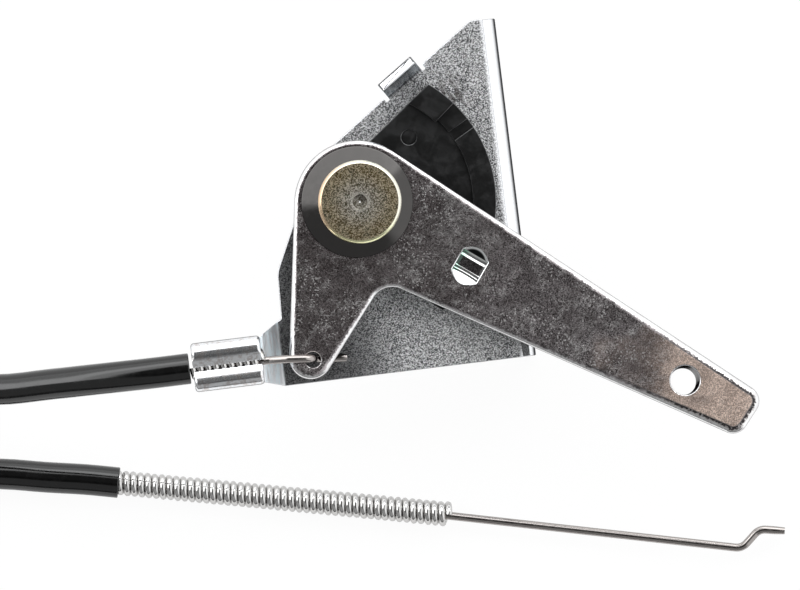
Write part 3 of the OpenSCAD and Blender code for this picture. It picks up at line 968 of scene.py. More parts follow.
@dataclass(frozen=True)
class Route:
    """A line through points, along which a tube is swept."""

    points: tuple[Vector, ...]

    @staticmethod
    def smooth(points: Sequence[Sequence[float]], parts: int) -> Route:
        """Makes a route that passes smoothly through points.

        Args:
            points: The points.
            parts: How many steps there are between two of them.

        Returns:
            The route.
        """
        known = [Vector(p) for p in points]
        known = [2 * known[0] - known[1], *known, 2 * known[-1] - known[-2]]
        made = []
        for a, b, c, d in zip(known, known[1:], known[2:], known[3:]):
            bow, twist = 2 * a - 5 * b + 4 * c - d, 3 * b - a - 3 * c + d
            for t in (i / parts for i in range(parts)):
                made.append(0.5 * (2 * b + (c - a) * t + bow * t**2 + twist * t**3))
        return Route((*made, known[-2]))

    @staticmethod
    def bent(points: Sequence[Sequence[float]], bend: float, parts: int, longest: float) -> Route:
        """Makes a route of straight legs with every corner rounded.

        Args:
            points: Its corners.
            bend: Radius of the bends.
            parts: Steps in each bend.
            longest: Longest step on a straight leg.

        Returns:
            The route.
        """
        known = [Vector(p) for p in points]
        made = [known[0]]
        for a, b, c in zip(known, known[1:], known[2:]):
            u, v = (b - a).normalized(), (c - b).normalized()
            turn = u.angle(v)
            out = u.cross(u.cross(v).normalized())
            hub = b - u * bend * math.tan(turn / 2) - out * bend
            for angle in (turn * k / parts for k in range(parts + 1)):
                made.append(hub + bend * (math.cos(angle) * out + math.sin(angle) * u))
        made.append(known[-1])
        dense = [made[0]]
        for a, b in zip(made, made[1:]):
            cuts = max(1, math.ceil((b - a).length / longest))
            dense += [a.lerp(b, i / cuts) for i in range(1, cuts + 1)]
        return Route(tuple(dense))

    def length(self) -> float:
        """Returns the route's length."""
        return sum((b - a).length for a, b in zip(self.points, self.points[1:]))

    def rings(self, radius: float, end_radius: float) -> list[list[Vector]]:
        """Lists rings of points square to the route, turned as little as can be.

        Args:
            radius: Their radius.
            end_radius: Radius of the first and of the last ring.

        Returns:
            The rings.
        """
        made = []
        last = len(self.points) - 1
        side = None
        for i, point in enumerate(self.points):
            way = (self.points[min(i + 1, last)] - self.points[max(i - 1, 0)]).normalized()
            if side is None:
                side = Vector((0, 0, 1)) if abs(way.z) < 0.9 else Vector((0, 1, 0))
            side = (side - side.dot(way) * way).normalized()
            other = way.cross(side)
            r = end_radius if i in (0, last) else radius
            spokes = (FULL_TURN * k / TUBE_SIDES for k in range(TUBE_SIDES))
            made.append([point + r * (math.cos(a) * side + math.sin(a) * other) for a in spokes])
        return made


@dataclass
class Bench:
    """Puts finished meshes into the shared frame."""

    frame: dict

    def __post_init__(self) -> None:
        """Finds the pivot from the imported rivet."""
        low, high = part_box("pivot_rivet")
        self.pivot = Vector(((low.x + high.x) / 2, (low.y + high.y) / 2, 0))
        self.into = Matrix.Translation(self.pivot) @ Matrix.Scale(MM, 4)

    def at(self, point: Sequence[float]) -> Vector:
        """Returns a point in the frame, in metres, from millimetres at the pivot."""
        return self.into @ Vector(point)

    def copy(self, node: str) -> Shaper:
        """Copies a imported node's mesh, with its triangles merged into whole faces.

        Args:
            node: The node's name.

        Returns:
            The copy, in millimetres from the pivot.
        """
        shape = Shaper()
        bm = shape.bm
        bm.from_mesh(self.frame["nodes"][node].data)
        bmesh.ops.transform(bm, matrix=self.into.inverted(), verts=bm.verts)
        bmesh.ops.remove_doubles(bm, verts=bm.verts, dist=0.002)
        bmesh.ops.dissolve_limit(bm, angle_limit=math.radians(0.5), verts=bm.verts, edges=bm.edges)
        return shape

    def piece(
        self,
        shape: Shaper,
        name: str,
        finish: Finish,
        body: Body | None,
        nodes: Sequence[str],
        crease: float = 32,
        flat_faces: bool = False,
    ) -> bpy.types.Object:
        """Turns a shape into a piece of the object.

        Args:
            shape: The finished shape, in millimetres from the pivot.
            name: The piece's name.
            finish: Its finish.
            body: The body that it rides on, or None to leave it unattached.
            nodes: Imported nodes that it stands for.
            crease: Angle above which an edge stays sharp, in degrees.
            flat_faces: True to keep large faces flat between rounded edges.

        Returns:
            The piece's object.
        """
        for face in shape.bm.faces:
            face.smooth = True
        for edge in shape.bm.edges:
            edge.smooth = edge not in shape.creases and edge.calc_face_angle(0) < math.radians(crease)
        bmesh.ops.transform(shape.bm, matrix=self.into, verts=shape.bm.verts)
        mesh = bpy.data.meshes.new(name)
        shape.bm.to_mesh(mesh)
        shape.bm.free()
        mesh.materials.clear()
        mesh.materials.append(finish.material())
        made = bpy.data.objects.new(name, mesh)
        bpy.context.scene.collection.objects.link(made)
        if flat_faces:
            made.modifiers.new("flat_faces", "WEIGHTED_NORMAL").keep_sharp = True
        if body is not None:
            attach(made, body.value)
        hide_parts(*nodes)
        log.info("%s: %d faces, stands for %s", name, len(mesh.polygons), ", ".join(nodes))
        return made


@dataclass(frozen=True)
class Sector:
    """A sector of the studio's sky, with its brightness at angles from straight up."""

    azimuth: float
    half: float
    soft: float
    stops: tuple[tuple[float, float], ...]


@dataclass
class Studio:
    """Camera, floor and sky, which aren't part of the object."""

    wide_mm: float = 129.03
    centre: Place = (4.58, -15.67)
    focus_z: float = 21.0
    distance: float = 3.5
    clip_end: float = 20.0
    sensor: float = 36.0
    roll: float = -7.0
    paper: Colour = (0.85, 0.85, 0.85)
    paper_glow: float = 1.02
    paper_seen: float = 0.92
    paper_mirrored: float = 0.45
    overhead: float = 0.1
    sky_tint: Colour = (0.985, 0.995, 1.0)
    sectors: tuple[Sector, ...] = (
        Sector(104.5, 72.5, 4.0, ((26, 0.1), (36, 2.4), (45, 2.4), (52, 3.6), (60, 3.6), (70, 1.6))),
        Sector(350.0, 42.0, 8.0, ((8, 0.1), (17, 1.2))),
        Sector(
            242.5, 65.5, 5.0,
            ((6, 0.1), (12, 0.05), (24, 0.05), (30, 0.35), (72, 0.35), (80, 0.1), (87, 0.1), (90, 0.6)),
        ),
    )  # fmt: skip

    def camera(self, bench: Bench) -> None:
        """Sets the camera straight above the object.

        Args:
            bench: The bench that knows the pivot.
        """
        data = bpy.data.cameras.new("camera")
        data.sensor_width = self.sensor
        data.lens = data.sensor_width * self.distance / (self.wide_mm * MM)
        data.clip_end = self.clip_end
        seen = bpy.data.objects.new("camera", data)
        seen.location = bench.at((*self.centre, self.focus_z)) + Vector((0, 0, self.distance))
        seen.rotation_euler = (0, 0, math.radians(self.roll))
        bpy.context.scene.collection.objects.link(seen)
        bpy.context.scene.camera = seen

    def floor(self) -> None:
        """Lays a white floor that keeps a soft shadow."""
        shape = bmesh.new()
        bmesh.ops.create_grid(shape, x_segments=1, y_segments=1, size=6.0)
        mesh = bpy.data.meshes.new("floor")
        shape.to_mesh(mesh)
        shape.free()
        made = bpy.data.objects.new("floor", mesh)
        bpy.context.scene.collection.objects.link(made)
        paper = bpy.data.materials.new("white_paper")
        graph = Graph(paper)
        matt = graph.add("BsdfDiffuse", {0: self.paper})
        glow = graph.add("Emission", {"Strength": self.paper_glow})
        seen = graph.add("LightPath", output="Is Camera Ray") * self.paper_seen
        mirrored = graph.add("LightPath", output="Is Glossy Ray") * self.paper_mirrored
        graph.end("OutputMaterial", graph.add("MixShader", {0: seen | mirrored, 1: matt, 2: glow}))
        mesh.materials.append(paper)

    def sky(self) -> None:
        """Lights the object from a studio's sky: dim overhead, a soft box behind, bright sides."""
        world = bpy.data.worlds.new("studio")
        bpy.context.scene.world = world
        graph = Graph(world)
        way = graph.add("TexCoord", output="Generated")
        up = graph.vector("DOT_PRODUCT", way, (0, 0, 1))
        level = graph.math("SQRT", (1.0 - up * up) | 1e-4)
        light: Signal | float = 0.0
        for sector in self.sectors:
            toward = graph.vector("DOT_PRODUCT", way, raised(unit(sector.azimuth), 0))
            low, high = (math.cos(math.radians(sector.half + soft)) for soft in (sector.soft, -sector.soft))
            inside = graph.math("DIVIDE", toward, level).step(low, high)
            glow: Signal | float = 0.0
            for (near, before), (far, after) in zip(sector.stops, sector.stops[1:]):
                low, high = math.cos(math.radians(far)), math.cos(math.radians(near))
                glow = up.step(low, high, (after - before, 0)) + glow
            light = inside * glow + light
        shine = graph.add("Background", {0: self.sky_tint, 1: light + self.overhead})
        white = graph.add("Background", {0: WHITE})
        seen = graph.add("LightPath", output="Is Camera Ray")
        graph.end("OutputWorld", graph.add("MixShader", {0: seen, 1: shine, 2: white}))

    def build(self, bench: Bench) -> None:
        """Sets up camera, floor and sky.

        Args:
            bench: The bench that knows the pivot.
        """
        bpy.context.scene.view_settings.view_transform = "Standard"
        self.camera(bench)
        self.floor()
        self.sky()


@dataclass
class Layout:
    """Heights from the floor and other places that the sub-assemblies share."""

    plate: float = 18.0
    sheet_t: float = 1.5
    lever: float = 22.4
    lever_t: float = 2.3
    cable: float = 24.6
    floor_cable: float = 2.5
    clamp_y: float = -23.294
    clamp_mouth: float = -18.75
    shank_r: float = 4.0
    bore_r: float = 4.05

    @property
    def lever_top(self) -> float:
        """Height of the lever's upper face."""
        return self.lever + self.lever_t

    @property
    def head(self) -> float:
        """Height of the underside of the rivet's head."""
        return self.lever_top + 1.4


@dataclass
class BracketAssembly:
    """Bracket with its crimped clamp, and the detent plate on it.

    A lip of the clamp is given by its edge and its crest beside the clamp's
    middle, and by how far its edge curls over and rises. Places on the stop
    tab are along it and out from its foot.
    """

    layout: Layout
    edge_w: float = 0.16
    short_fold: float = 0.05
    clamp_end: float = -29.95
    clamp_edge_w: float = 0.55
    clamp_shoulder: float = 1.75
    clamp_side: float = 3.1
    clamp_side_z: float = 21.4
    clamp_seam: tuple[float, float] = (-1.6, 1.3)
    lips: tuple[tuple[float, float, float, float], ...] = ((0.56, 2.0, 0.6, 0.08), (-1.06, -2.41, 0.5, 0.17))
    lip_start: float = 1.4
    tab_foot: Place = (9.45, 18.2)
    tab_a: float = 34.4
    tab_half: float = 3.7
    tab_slope: float = 0.5
    tab_edge_w: float = 0.42
    notch_along: tuple[float, float] = (3.3, 4.4)
    notch_out: tuple[float, float] = (-1.6, -0.3)
    notch_closed: float = 0.62
    ejector: Place = (9.16, 9.36)
    ejector_r: float = 1.05

    def close_lips(self, shape: Shaper) -> None:
        """Curls the two crimped lips closer to each other, over the conduit.

        Args:
            shape: The bracket's shape.
        """
        for vert in shape.bm.verts:
            across = vert.co.y - self.layout.clamp_y
            if vert.co.x > self.layout.clamp_mouth + 0.1 or vert.co.z < self.layout.cable + self.lip_start:
                continue
            for edge, crest, curl, rise in self.lips:
                share = (across - crest) / (edge - crest)
                if 0 < share <= 1.02:
                    vert.co.y += math.copysign(curl * share * share, edge - crest)
                    vert.co.z += rise * share * share

    def trim_tab(self, shape: Shaper) -> None:
        """Closes the relief notches beside the stop tab to what shows, and slopes the tab's end.

        Args:
            shape: The bracket's shape.
        """
        along, out = unit(self.tab_a), unit(self.tab_a + 90)
        foot = Vector(self.tab_foot)
        for vert in shape.bm.verts:
            place = vert.co.xy - foot
            t, n = abs(place.dot(along)), place.dot(out)
            rise = vert.co.z - self.layout.plate
            beside = self.notch_along[0] < t < self.notch_along[1]
            if rise < 0.1 and beside and self.notch_out[0] < n < self.notch_out[1]:
                vert.co += raised(-self.notch_closed * n * out, 0)
            if rise > 5.5 and t < self.tab_half and n > 1.3 * self.layout.sheet_t:
                vert.co.z -= self.tab_slope

    def on_tab(self, edge: BMEdge) -> bool:
        """Returns whether an edge is one of those round the stop tab's end."""
        high = all(v.co.z > self.layout.plate + 4.5 for v in edge.verts)
        return high and (edge.verts[0].co.xy - Vector(self.tab_foot)).length < 6.0

    def on_clamp_end(self, edge: BMEdge) -> bool:
        """Tells whether an edge is on the clamp's ends, over its shoulders and beside its seam.

        Args:
            edge: The edge.

        Returns:
            True if it is.
        """
        ends = (self.clamp_end, self.layout.clamp_mouth)
        if not any(all(abs(v.co.x - x) < 0.02 for v in edge.verts) for x in ends):
            return False
        for vert in edge.verts:
            across, height = vert.co.y - self.layout.clamp_y, vert.co.z
            over = height > self.layout.cable + self.clamp_shoulder
            beside = height > self.clamp_side_z and abs(across) > self.clamp_side
            in_seam = height >= self.layout.cable + self.clamp_shoulder
            in_seam = in_seam and self.clamp_seam[0] < across < self.clamp_seam[1]
            if in_seam or not (over or beside):
                return False
        return True

    def sheet(self, bench: Bench) -> None:
        """Makes the bracket, with softened edges and rounded clamp ends.

        Args:
            bench: The bench.
        """
        shape = bench.copy("bracket")
        self.close_lips(shape)
        self.trim_tab(shape)
        shape.soften([e for e in shape.folds() if self.on_clamp_end(e)], self.clamp_edge_w, 5)
        shape.soften([e for e in shape.folds(self.short_fold) if not self.on_tab(e)], self.edge_w, 2)
        shape.soften([e for e in shape.folds() if self.on_tab(e)], self.tab_edge_w, 3)
        # The dark rim tone paints shade along the sheet's rounded edges.
        finish = SheetFinish(
            "sheet_zinc", Slot.ZINC_SHEET, dark=(0.08, 0.08, 0.085), light=(0.93, 0.93, 0.94),
            edge=(0.94, 0.95, 0.97), grain_mm=0.18, grain_range=(0.3, 0.72), cloud_mm=3.0, cloud_share=0.2,
            rough=(0.34, 0.46), grain_um=7.0, cell_mm=0.13, cell_share=0.8, painted_rim_share=0.9,
            painted_rim_tone=(0.12, 0.12, 0.125), pivot=bench.pivot,
        )  # fmt: skip
        bench.piece(shape, "bracket_sheet", finish, Body.ROOT, ["bracket"], flat_faces=True)

    def plate(self, bench: Bench) -> None:
        """Makes the moulded detent plate, whose ejector mark stays sharp.

        Args:
            bench: The bench.
        """
        shape = bench.copy("detent_plate")
        mark = Vector(self.ejector)
        folds = shape.folds(self.short_fold)
        shape.soften([e for e in folds if (e.verts[0].co.xy - mark).length > self.ejector_r], self.edge_w, 2)
        finish = MouldedFinish(
            "moulded_black", Slot.BLACK_PLASTIC, colour=(0.002, 0.002, 0.002), pale=(0.011, 0.011, 0.0115),
            rough=(0.3, 0.42), specular=0.45, patch_mm=2.6, edge_lit=(0.16, 0.16, 0.165),
        )  # fmt: skip
        bench.piece(shape, "detent_moulding", finish, Body.ROOT, ["detent_plate"], flat_faces=True)

    def build(self, bench: Bench) -> None:
        """Makes the bracket and the detent plate."""
        self.sheet(bench)
        self.plate(bench)


@dataclass
class LeverAssembly:
    """Stamped lever with its rolled edge, holes and lance.

    Angles are in plan, in degrees. A rub is given by its place, size and
    strength, and a ridge of the lance by its place along the lance and its
    depth as a share of the lance's.
    """

    layout: Layout
    arm_l: float = 72.05
    arm_a: float = -35.76
    tip_w: float = 7.86
    tip_turn: float = 85.8
    tip_r: float = 2.5
    boss_r: float = 10.2
    boss_mid: Place = (-0.4, -0.2)
    crank_l: float = 26.53
    crank_a: float = 246.45
    crank_end: Place = (-5.8, -11.95)
    crank_r: float = 3.5
    inner_corner: tuple[float, float, float] = (2.27, -13.2, 3.6)
    knob_l: float = 59.75
    knob_a: float = -35.74
    knob_r: float = 2.38
    knob_lean: Place = (-0.4, -0.2)
    wire_hole_r: float = 1.25
    hole_rim: float = 0.22
    roll_w: tuple[float, float] = (0.8, 1.5)
    roll_from: tuple[float, float] = (26.0, 66.0)
    roll_h: float = 0.8
    roll_steps: int = 9
    crank_roll: float = 1.15
    crank_roll_from: tuple[float, float] = (4.5, 10.5)
    lance_r: float = 20.5
    lance_a: float = -37.2
    lance_w: float = 4.4
    lance_side: float = 1.95
    lance_bow: float = 1.25
    lance_h: float = 1.1
    lance_end_h: float = 0.68
    lance_lip: float = 0.24
    lance_cols: int = 14
    lance_steps: int = 6
    lance_ridges: tuple[tuple[float, float], ...] = (
        (1.93, 1.0), (1.78, 0.92), (1.38, 0.92), (1.0, 0.82), (0.94, 0.98), (-0.75, 0.98), (-0.85, 0.945),
        (-1.3, 0.945), (-1.4, 0.89), (-1.78, 0.89), (-1.93, 0.81),
    )  # fmt: skip
    rubs: tuple[tuple[float, float, float, float], ...] = (
        (17.0, -3.0, 5.5, 0.9), (13.5, -7.5, 5.0, 0.6), (19.5, -9.0, 3.5, 0.7), (6.0, -11.5, 4.5, 0.5),
        (34.0, -25.0, 6.0, 0.35),
    )  # fmt: skip

    @property
    def wire_hole(self) -> Vector:
        """Centre of the wire hole in plan."""
        return self.crank_l * unit(self.crank_a)

    def outline(self) -> Outline:
        """Draws the lever's outline, whose boss is tangent to both arms.

        Returns:
            The outline.
        """
        tip = self.arm_l * unit(self.arm_a)
        across = self.tip_w / 2 * unit(self.arm_a + self.tip_turn)
        low, high = tip - across, tip + across
        crank = self.wire_hole + Vector(self.crank_end)
        mid = Vector(self.boss_mid)
        sides = []
        for corner, sign in ((crank, -1), (high, 1)):
            away = corner - mid
            angle = math.degrees(math.atan2(away.y, away.x) + sign * math.acos(self.boss_r / away.length))
            sides.append(unit(angle))
        boss = mid + self.boss_r * (sides[0] + sides[1]) / (1 + sides[0].dot(sides[1]))
        ends = ((*low, self.tip_r), (*high, self.tip_r))
        return Outline(((*boss, self.boss_r), (*crank, self.crank_r), self.inner_corner, *ends), steps=24)

    def rolled(self, outline: Outline) -> list[list[Vector]]:
        """Lists the rings of the lever's side, from its flat top over the rolled edge to its underside.

        Args:
            outline: The lever's outline.

        Returns:
            The rings.
        """
        top, low = self.layout.lever_top, self.layout.lever
        near, far = self.roll_w
        outer, inner = outline.points(0), outline.points(far)
        shares = []
        for p in outer:
            wide = near + (far - near) * limited(p.length, *self.roll_from)
            away = limited((p - self.wire_hole).length, *self.crank_roll_from)
            shares.append(max(wide, self.crank_roll + (near - self.crank_roll) * away) / far)
        rings = []
        for angle in (math.pi / 2 * k / self.roll_steps for k in range(self.roll_steps + 1)):
            out, height = math.sin(angle), top - self.roll_h * (1 - math.cos(angle))
            sides = zip(outer, inner, shares)
            rings.append([raised(o.lerp(i, share * (1 - out)), height) for o, i, share in sides])
        rings.append([raised(p, low + 0.12) for p in outer])
        rings.append([raised(p, low) for p in outline.points(0.1)])
        return rings

    def hole(self, centre: Vector, radius: float, count: int, lean: Place = (0, 0)) -> list[list[Vector]]:
        """Lists the rings of a hole with a rounded upper rim.

        Args:
            centre: Its centre in plan.
            radius: Its radius.
            count: Points in a ring.
            lean: How far its lower end is pushed sideways.

        Returns:
            The rings.
        """
        top, rim = self.layout.lever_top, self.hole_rim
        bends = (0, 0.4, 0.8, 1.2, math.pi / 2)
        rings = []
        for bend in bends:
            wide, height = radius + rim * (1 - math.sin(bend)), top - rim * (1 - math.cos(bend))
            rings.append(circle(centre, wide, height, count))
        push = Vector(lean)
        return [*rings, circle(centre + push, radius - push.length / 2, self.layout.lever, count)]

    def lance_point(self, across: float, along: float, height: float) -> Vector:
        """Returns a point of the lance, at distances across and along it from its middle."""
        return raised((self.lance_r + across) * unit(self.lance_a) + along * unit(self.lance_a + 90), height)

    def lance_ring(self, height: float, grow: float) -> list[Vector]:
        """Lists the outline of the lance's opening.

        Args:
            height: Its height.
            grow: How much wider it is than the lance, beyond its two cuts.

        Returns:
            The points, anticlockwise.
        """
        half = self.lance_w / 2
        wide = (half + grow) / half
        places = [-half + self.lance_w * i / self.lance_cols for i in range(self.lance_cols + 1)]
        ring = []
        for sign, row in ((1, places[::-1]), (-1, places)):
            for x in row:
                reach = self.lance_side + self.lance_bow * (1 - (2 * x / self.lance_w) ** 2)
                ring.append(self.lance_point(x * wide, sign * reach, height))
        return ring

    def lance(self, shape: Shaper) -> None:
        """Adds the pressed strip, which dips between its two cuts.

        Args:
            shape: The lever's shape.
        """
        shares = [k / self.lance_steps for k in range(self.lance_steps + 1)]
        rows = [(1, self.lance_side, share, 0.0) for share in shares]
        rows += [(1, place, 1.0, depth) for place, depth in self.lance_ridges]
        rows += [(-1, self.lance_side, share, 0.0) for share in reversed(shares)]
        last = len(rows) - 1
        made = bmesh.ops.create_grid(shape.bm, x_segments=self.lance_cols, y_segments=last, size=1.0)
        number = {v: round((1 - v.co.y) / 2 * last) for v in made["verts"]}
        for vert, row in number.items():
            sign, place, share, depth = rows[row]
            across = vert.co.x * self.lance_w / 2
            bow = 1 - (2 * across / self.lance_w) ** 2
            dip = self.lance_h * depth if depth else self.lance_end_h * bow * share**1.25
            where = sign * (place + self.lance_bow * bow * (1 - share))
            where -= 0.12 * bow * share * where / self.lance_side
            vert.co = self.lance_point(across, where, self.layout.lever_top - dip)
        faces = {f for v in number for f in v.link_faces}
        for edge in {e for f in faces for e in f.edges}:
            met = {number[v] for v in edge.verts}
            if len(met) == 1 and self.lance_steps <= min(met) <= last - self.lance_steps:
                shape.creases.add(edge)
        grown = bmesh.ops.extrude_face_region(shape.bm, geom=list(faces))["geom"]
        under = [v for v in grown if isinstance(v, BMVert)]
        bmesh.ops.translate(shape.bm, vec=(0, 0, 0.35 - self.layout.lever_t), verts=under)
        whole = {f for v in [*number, *under] for f in v.link_faces}
        bmesh.ops.recalc_face_normals(shape.bm, faces=list(whole))

    def build(self, bench: Bench) -> None:
        """Makes the lever.

        Args:
            bench: The bench.
        """
        top, low, lip = self.layout.lever_top, self.layout.lever, self.lance_lip
        curve = ((0.0, 1.0), (0.1, 0.6), (0.4, 0.2), (1.2, 0.0))
        opening = [self.lance_ring(top - down * lip, out * lip) for down, out in curve]
        shape = Shaper()
        skins = [
            shape.loft(self.rolled(self.outline())),
            shape.loft(self.hole(self.knob_l * unit(self.knob_a), self.knob_r, 64, self.knob_lean)),
            shape.loft(self.hole(self.wire_hole, self.wire_hole_r, 40)),
            shape.loft(self.hole(Vector((0, 0)), self.layout.bore_r, 64)),
            shape.loft([*opening, self.lance_ring(low, 0.0)]),
        ]
        for rings in zip(*skins):
            shape.fill(rings)
        shape.tidy()
        self.lance(shape)
        # Its rims take the dark default tone: painted shade along the rolled edge and the holes' walls.
        finish = LeverFinish(
            "lever_zinc", Slot.ZINC_LEVER, dark=(0.085, 0.07, 0.07), light=(0.58, 0.53, 0.54),
            edge=(0.88, 0.88, 0.88), grain_mm=0.12, grain_range=(0.32, 0.92), cloud_mm=4.0, cloud_share=0.35,
            rough=(0.26, 0.36), grain_um=5.0, wave_um=14.0, cell_mm=0.12, cell_share=0.4, painted_rim_share=0.9,
            rim_start=0.2, rim_walls=True, tip=bench.at(raised(self.arm_l * unit(self.arm_a), top)),
            boss=bench.at((-2, -8, top)), lance=bench.at(self.lance_point(0, 0, top - self.lance_h / 2)),
            lance_a=self.lance_a, rubs=tuple((*bench.at((x, y, 0)).xy, *rub) for x, y, *rub in self.rubs),
        )  # fmt: skip
        bench.piece(shape, "lever_stamping", finish, Body.LEVER, ["lever"], flat_faces=True)


@dataclass
class PivotAssembly:
    """Rivet and spring washer."""

    layout: Layout
    head_r: float = 6.75
    head_t: float = 2.2
    bevel: float = 0.52
    washer_r: float = 9.0
    washer_t: float = 0.8
    washer_rise: float = 0.6
    washer_off: Place = (-0.45, 0.06)
    steps: int = 128

    def rivet(self, bench: Bench) -> None:
        """Makes the rivet, from its upset tail to the dimple in its head.

        Args:
            bench: The bench.
        """
        low, head = self.layout.plate - self.layout.sheet_t, self.layout.head
        top = head + self.head_t
        shank, rim, face = self.layout.shank_r, self.head_r, self.head_r - self.bevel
        shape = Shaper()
        shape.turned(
            [
                (0, low - 1.35), (1.0, low - 1.32), (4.6, low - 1.5), (5.3, low - 1.4), (5.8, low - 1.0),
                (6.0, low - 0.5), (5.95, low), (shank, low), (shank, head), (rim - 0.2, head),
                (rim, head + 0.2), (rim, top - self.bevel - 0.08), (rim - 0.06, top - self.bevel + 0.05),
                (face + 0.1, top - 0.07), (face - 0.04, top), (1.35, top), (1.2, top - 0.04),
                (1.05, top - 0.25), (0.6, top - 0.36), (0.2, top - 0.38), (0.08, top - 0.43), (0, top - 0.44),
            ],
            self.steps,
        )  # fmt: skip
        shape.tidy()
        finish = RivetFinish("rivet_yellow_zinc", Slot.YELLOW_ZINC, centre=bench.at((0, 0, top)), face_r=face)
        bench.piece(shape, "rivet", finish, Body.ROOT, ["pivot_rivet"], flat_faces=True)

    def washer(self, bench: Bench) -> None:
        """Makes the spring washer, whose cone sits a little to one side.

        Args:
            bench: The bench.
        """
        low, out, hole = self.layout.lever_top, self.washer_r, self.layout.bore_r
        inner = low + self.washer_rise
        outer, crest = inner + self.washer_t, self.head_r - 0.2
        shape = Shaper()
        shape.turned(
            [
                (hole, inner), (hole, outer), (crest, outer), (out - 0.2, low + 0.56),
                (out - 0.06, low + 0.48), (out, low + 0.34), (out, low + 0.12), (out - 0.1, low),
                (out - 0.6, low), (self.head_r - 0.4, inner), (hole, inner),
            ],
            self.steps,
        )  # fmt: skip
        for vert in shape.bm.verts:
            share = max(0.0, vert.co.xy.length - self.head_r + 0.4) / (out - self.head_r + 0.4)
            vert.co += raised(share * Vector(self.washer_off), 0)
        shape.tidy()
        for edge in shape.bm.edges:
            if all(abs(v.co.xy.length - crest) < 0.05 and v.co.z > inner + 0.5 for v in edge.verts):
                shape.creases.add(edge)
        # The light rim tone paints a highlight line along the washer's outer edge.
        finish = PlatedFinish(
            "washer_black_steel", Slot.BLACK_STEEL, dark=(0.06, 0.058, 0.057), light=(0.085, 0.08, 0.078),
            edge=(0.075, 0.072, 0.07), grain_mm=0.4, grain_range=(0.3, 0.8), cloud_mm=3.0, cloud_share=0.4,
            rough=(0.1, 0.16), edge_rough=0.1, grain_um=1.0, wave_um=4.0, painted_rim_share=0.8, rim_start=0.45,
            rim_walls=True, painted_rim_tone=(0.3, 0.3, 0.3),
        )  # fmt: skip
        bench.piece(shape, "spring_washer_cone", finish, Body.ROOT, ["spring_washer"], flat_faces=True)

    def build(self, bench: Bench) -> None:
        """Makes the washer and the rivet."""
        self.washer(bench)
        self.rivet(bench)


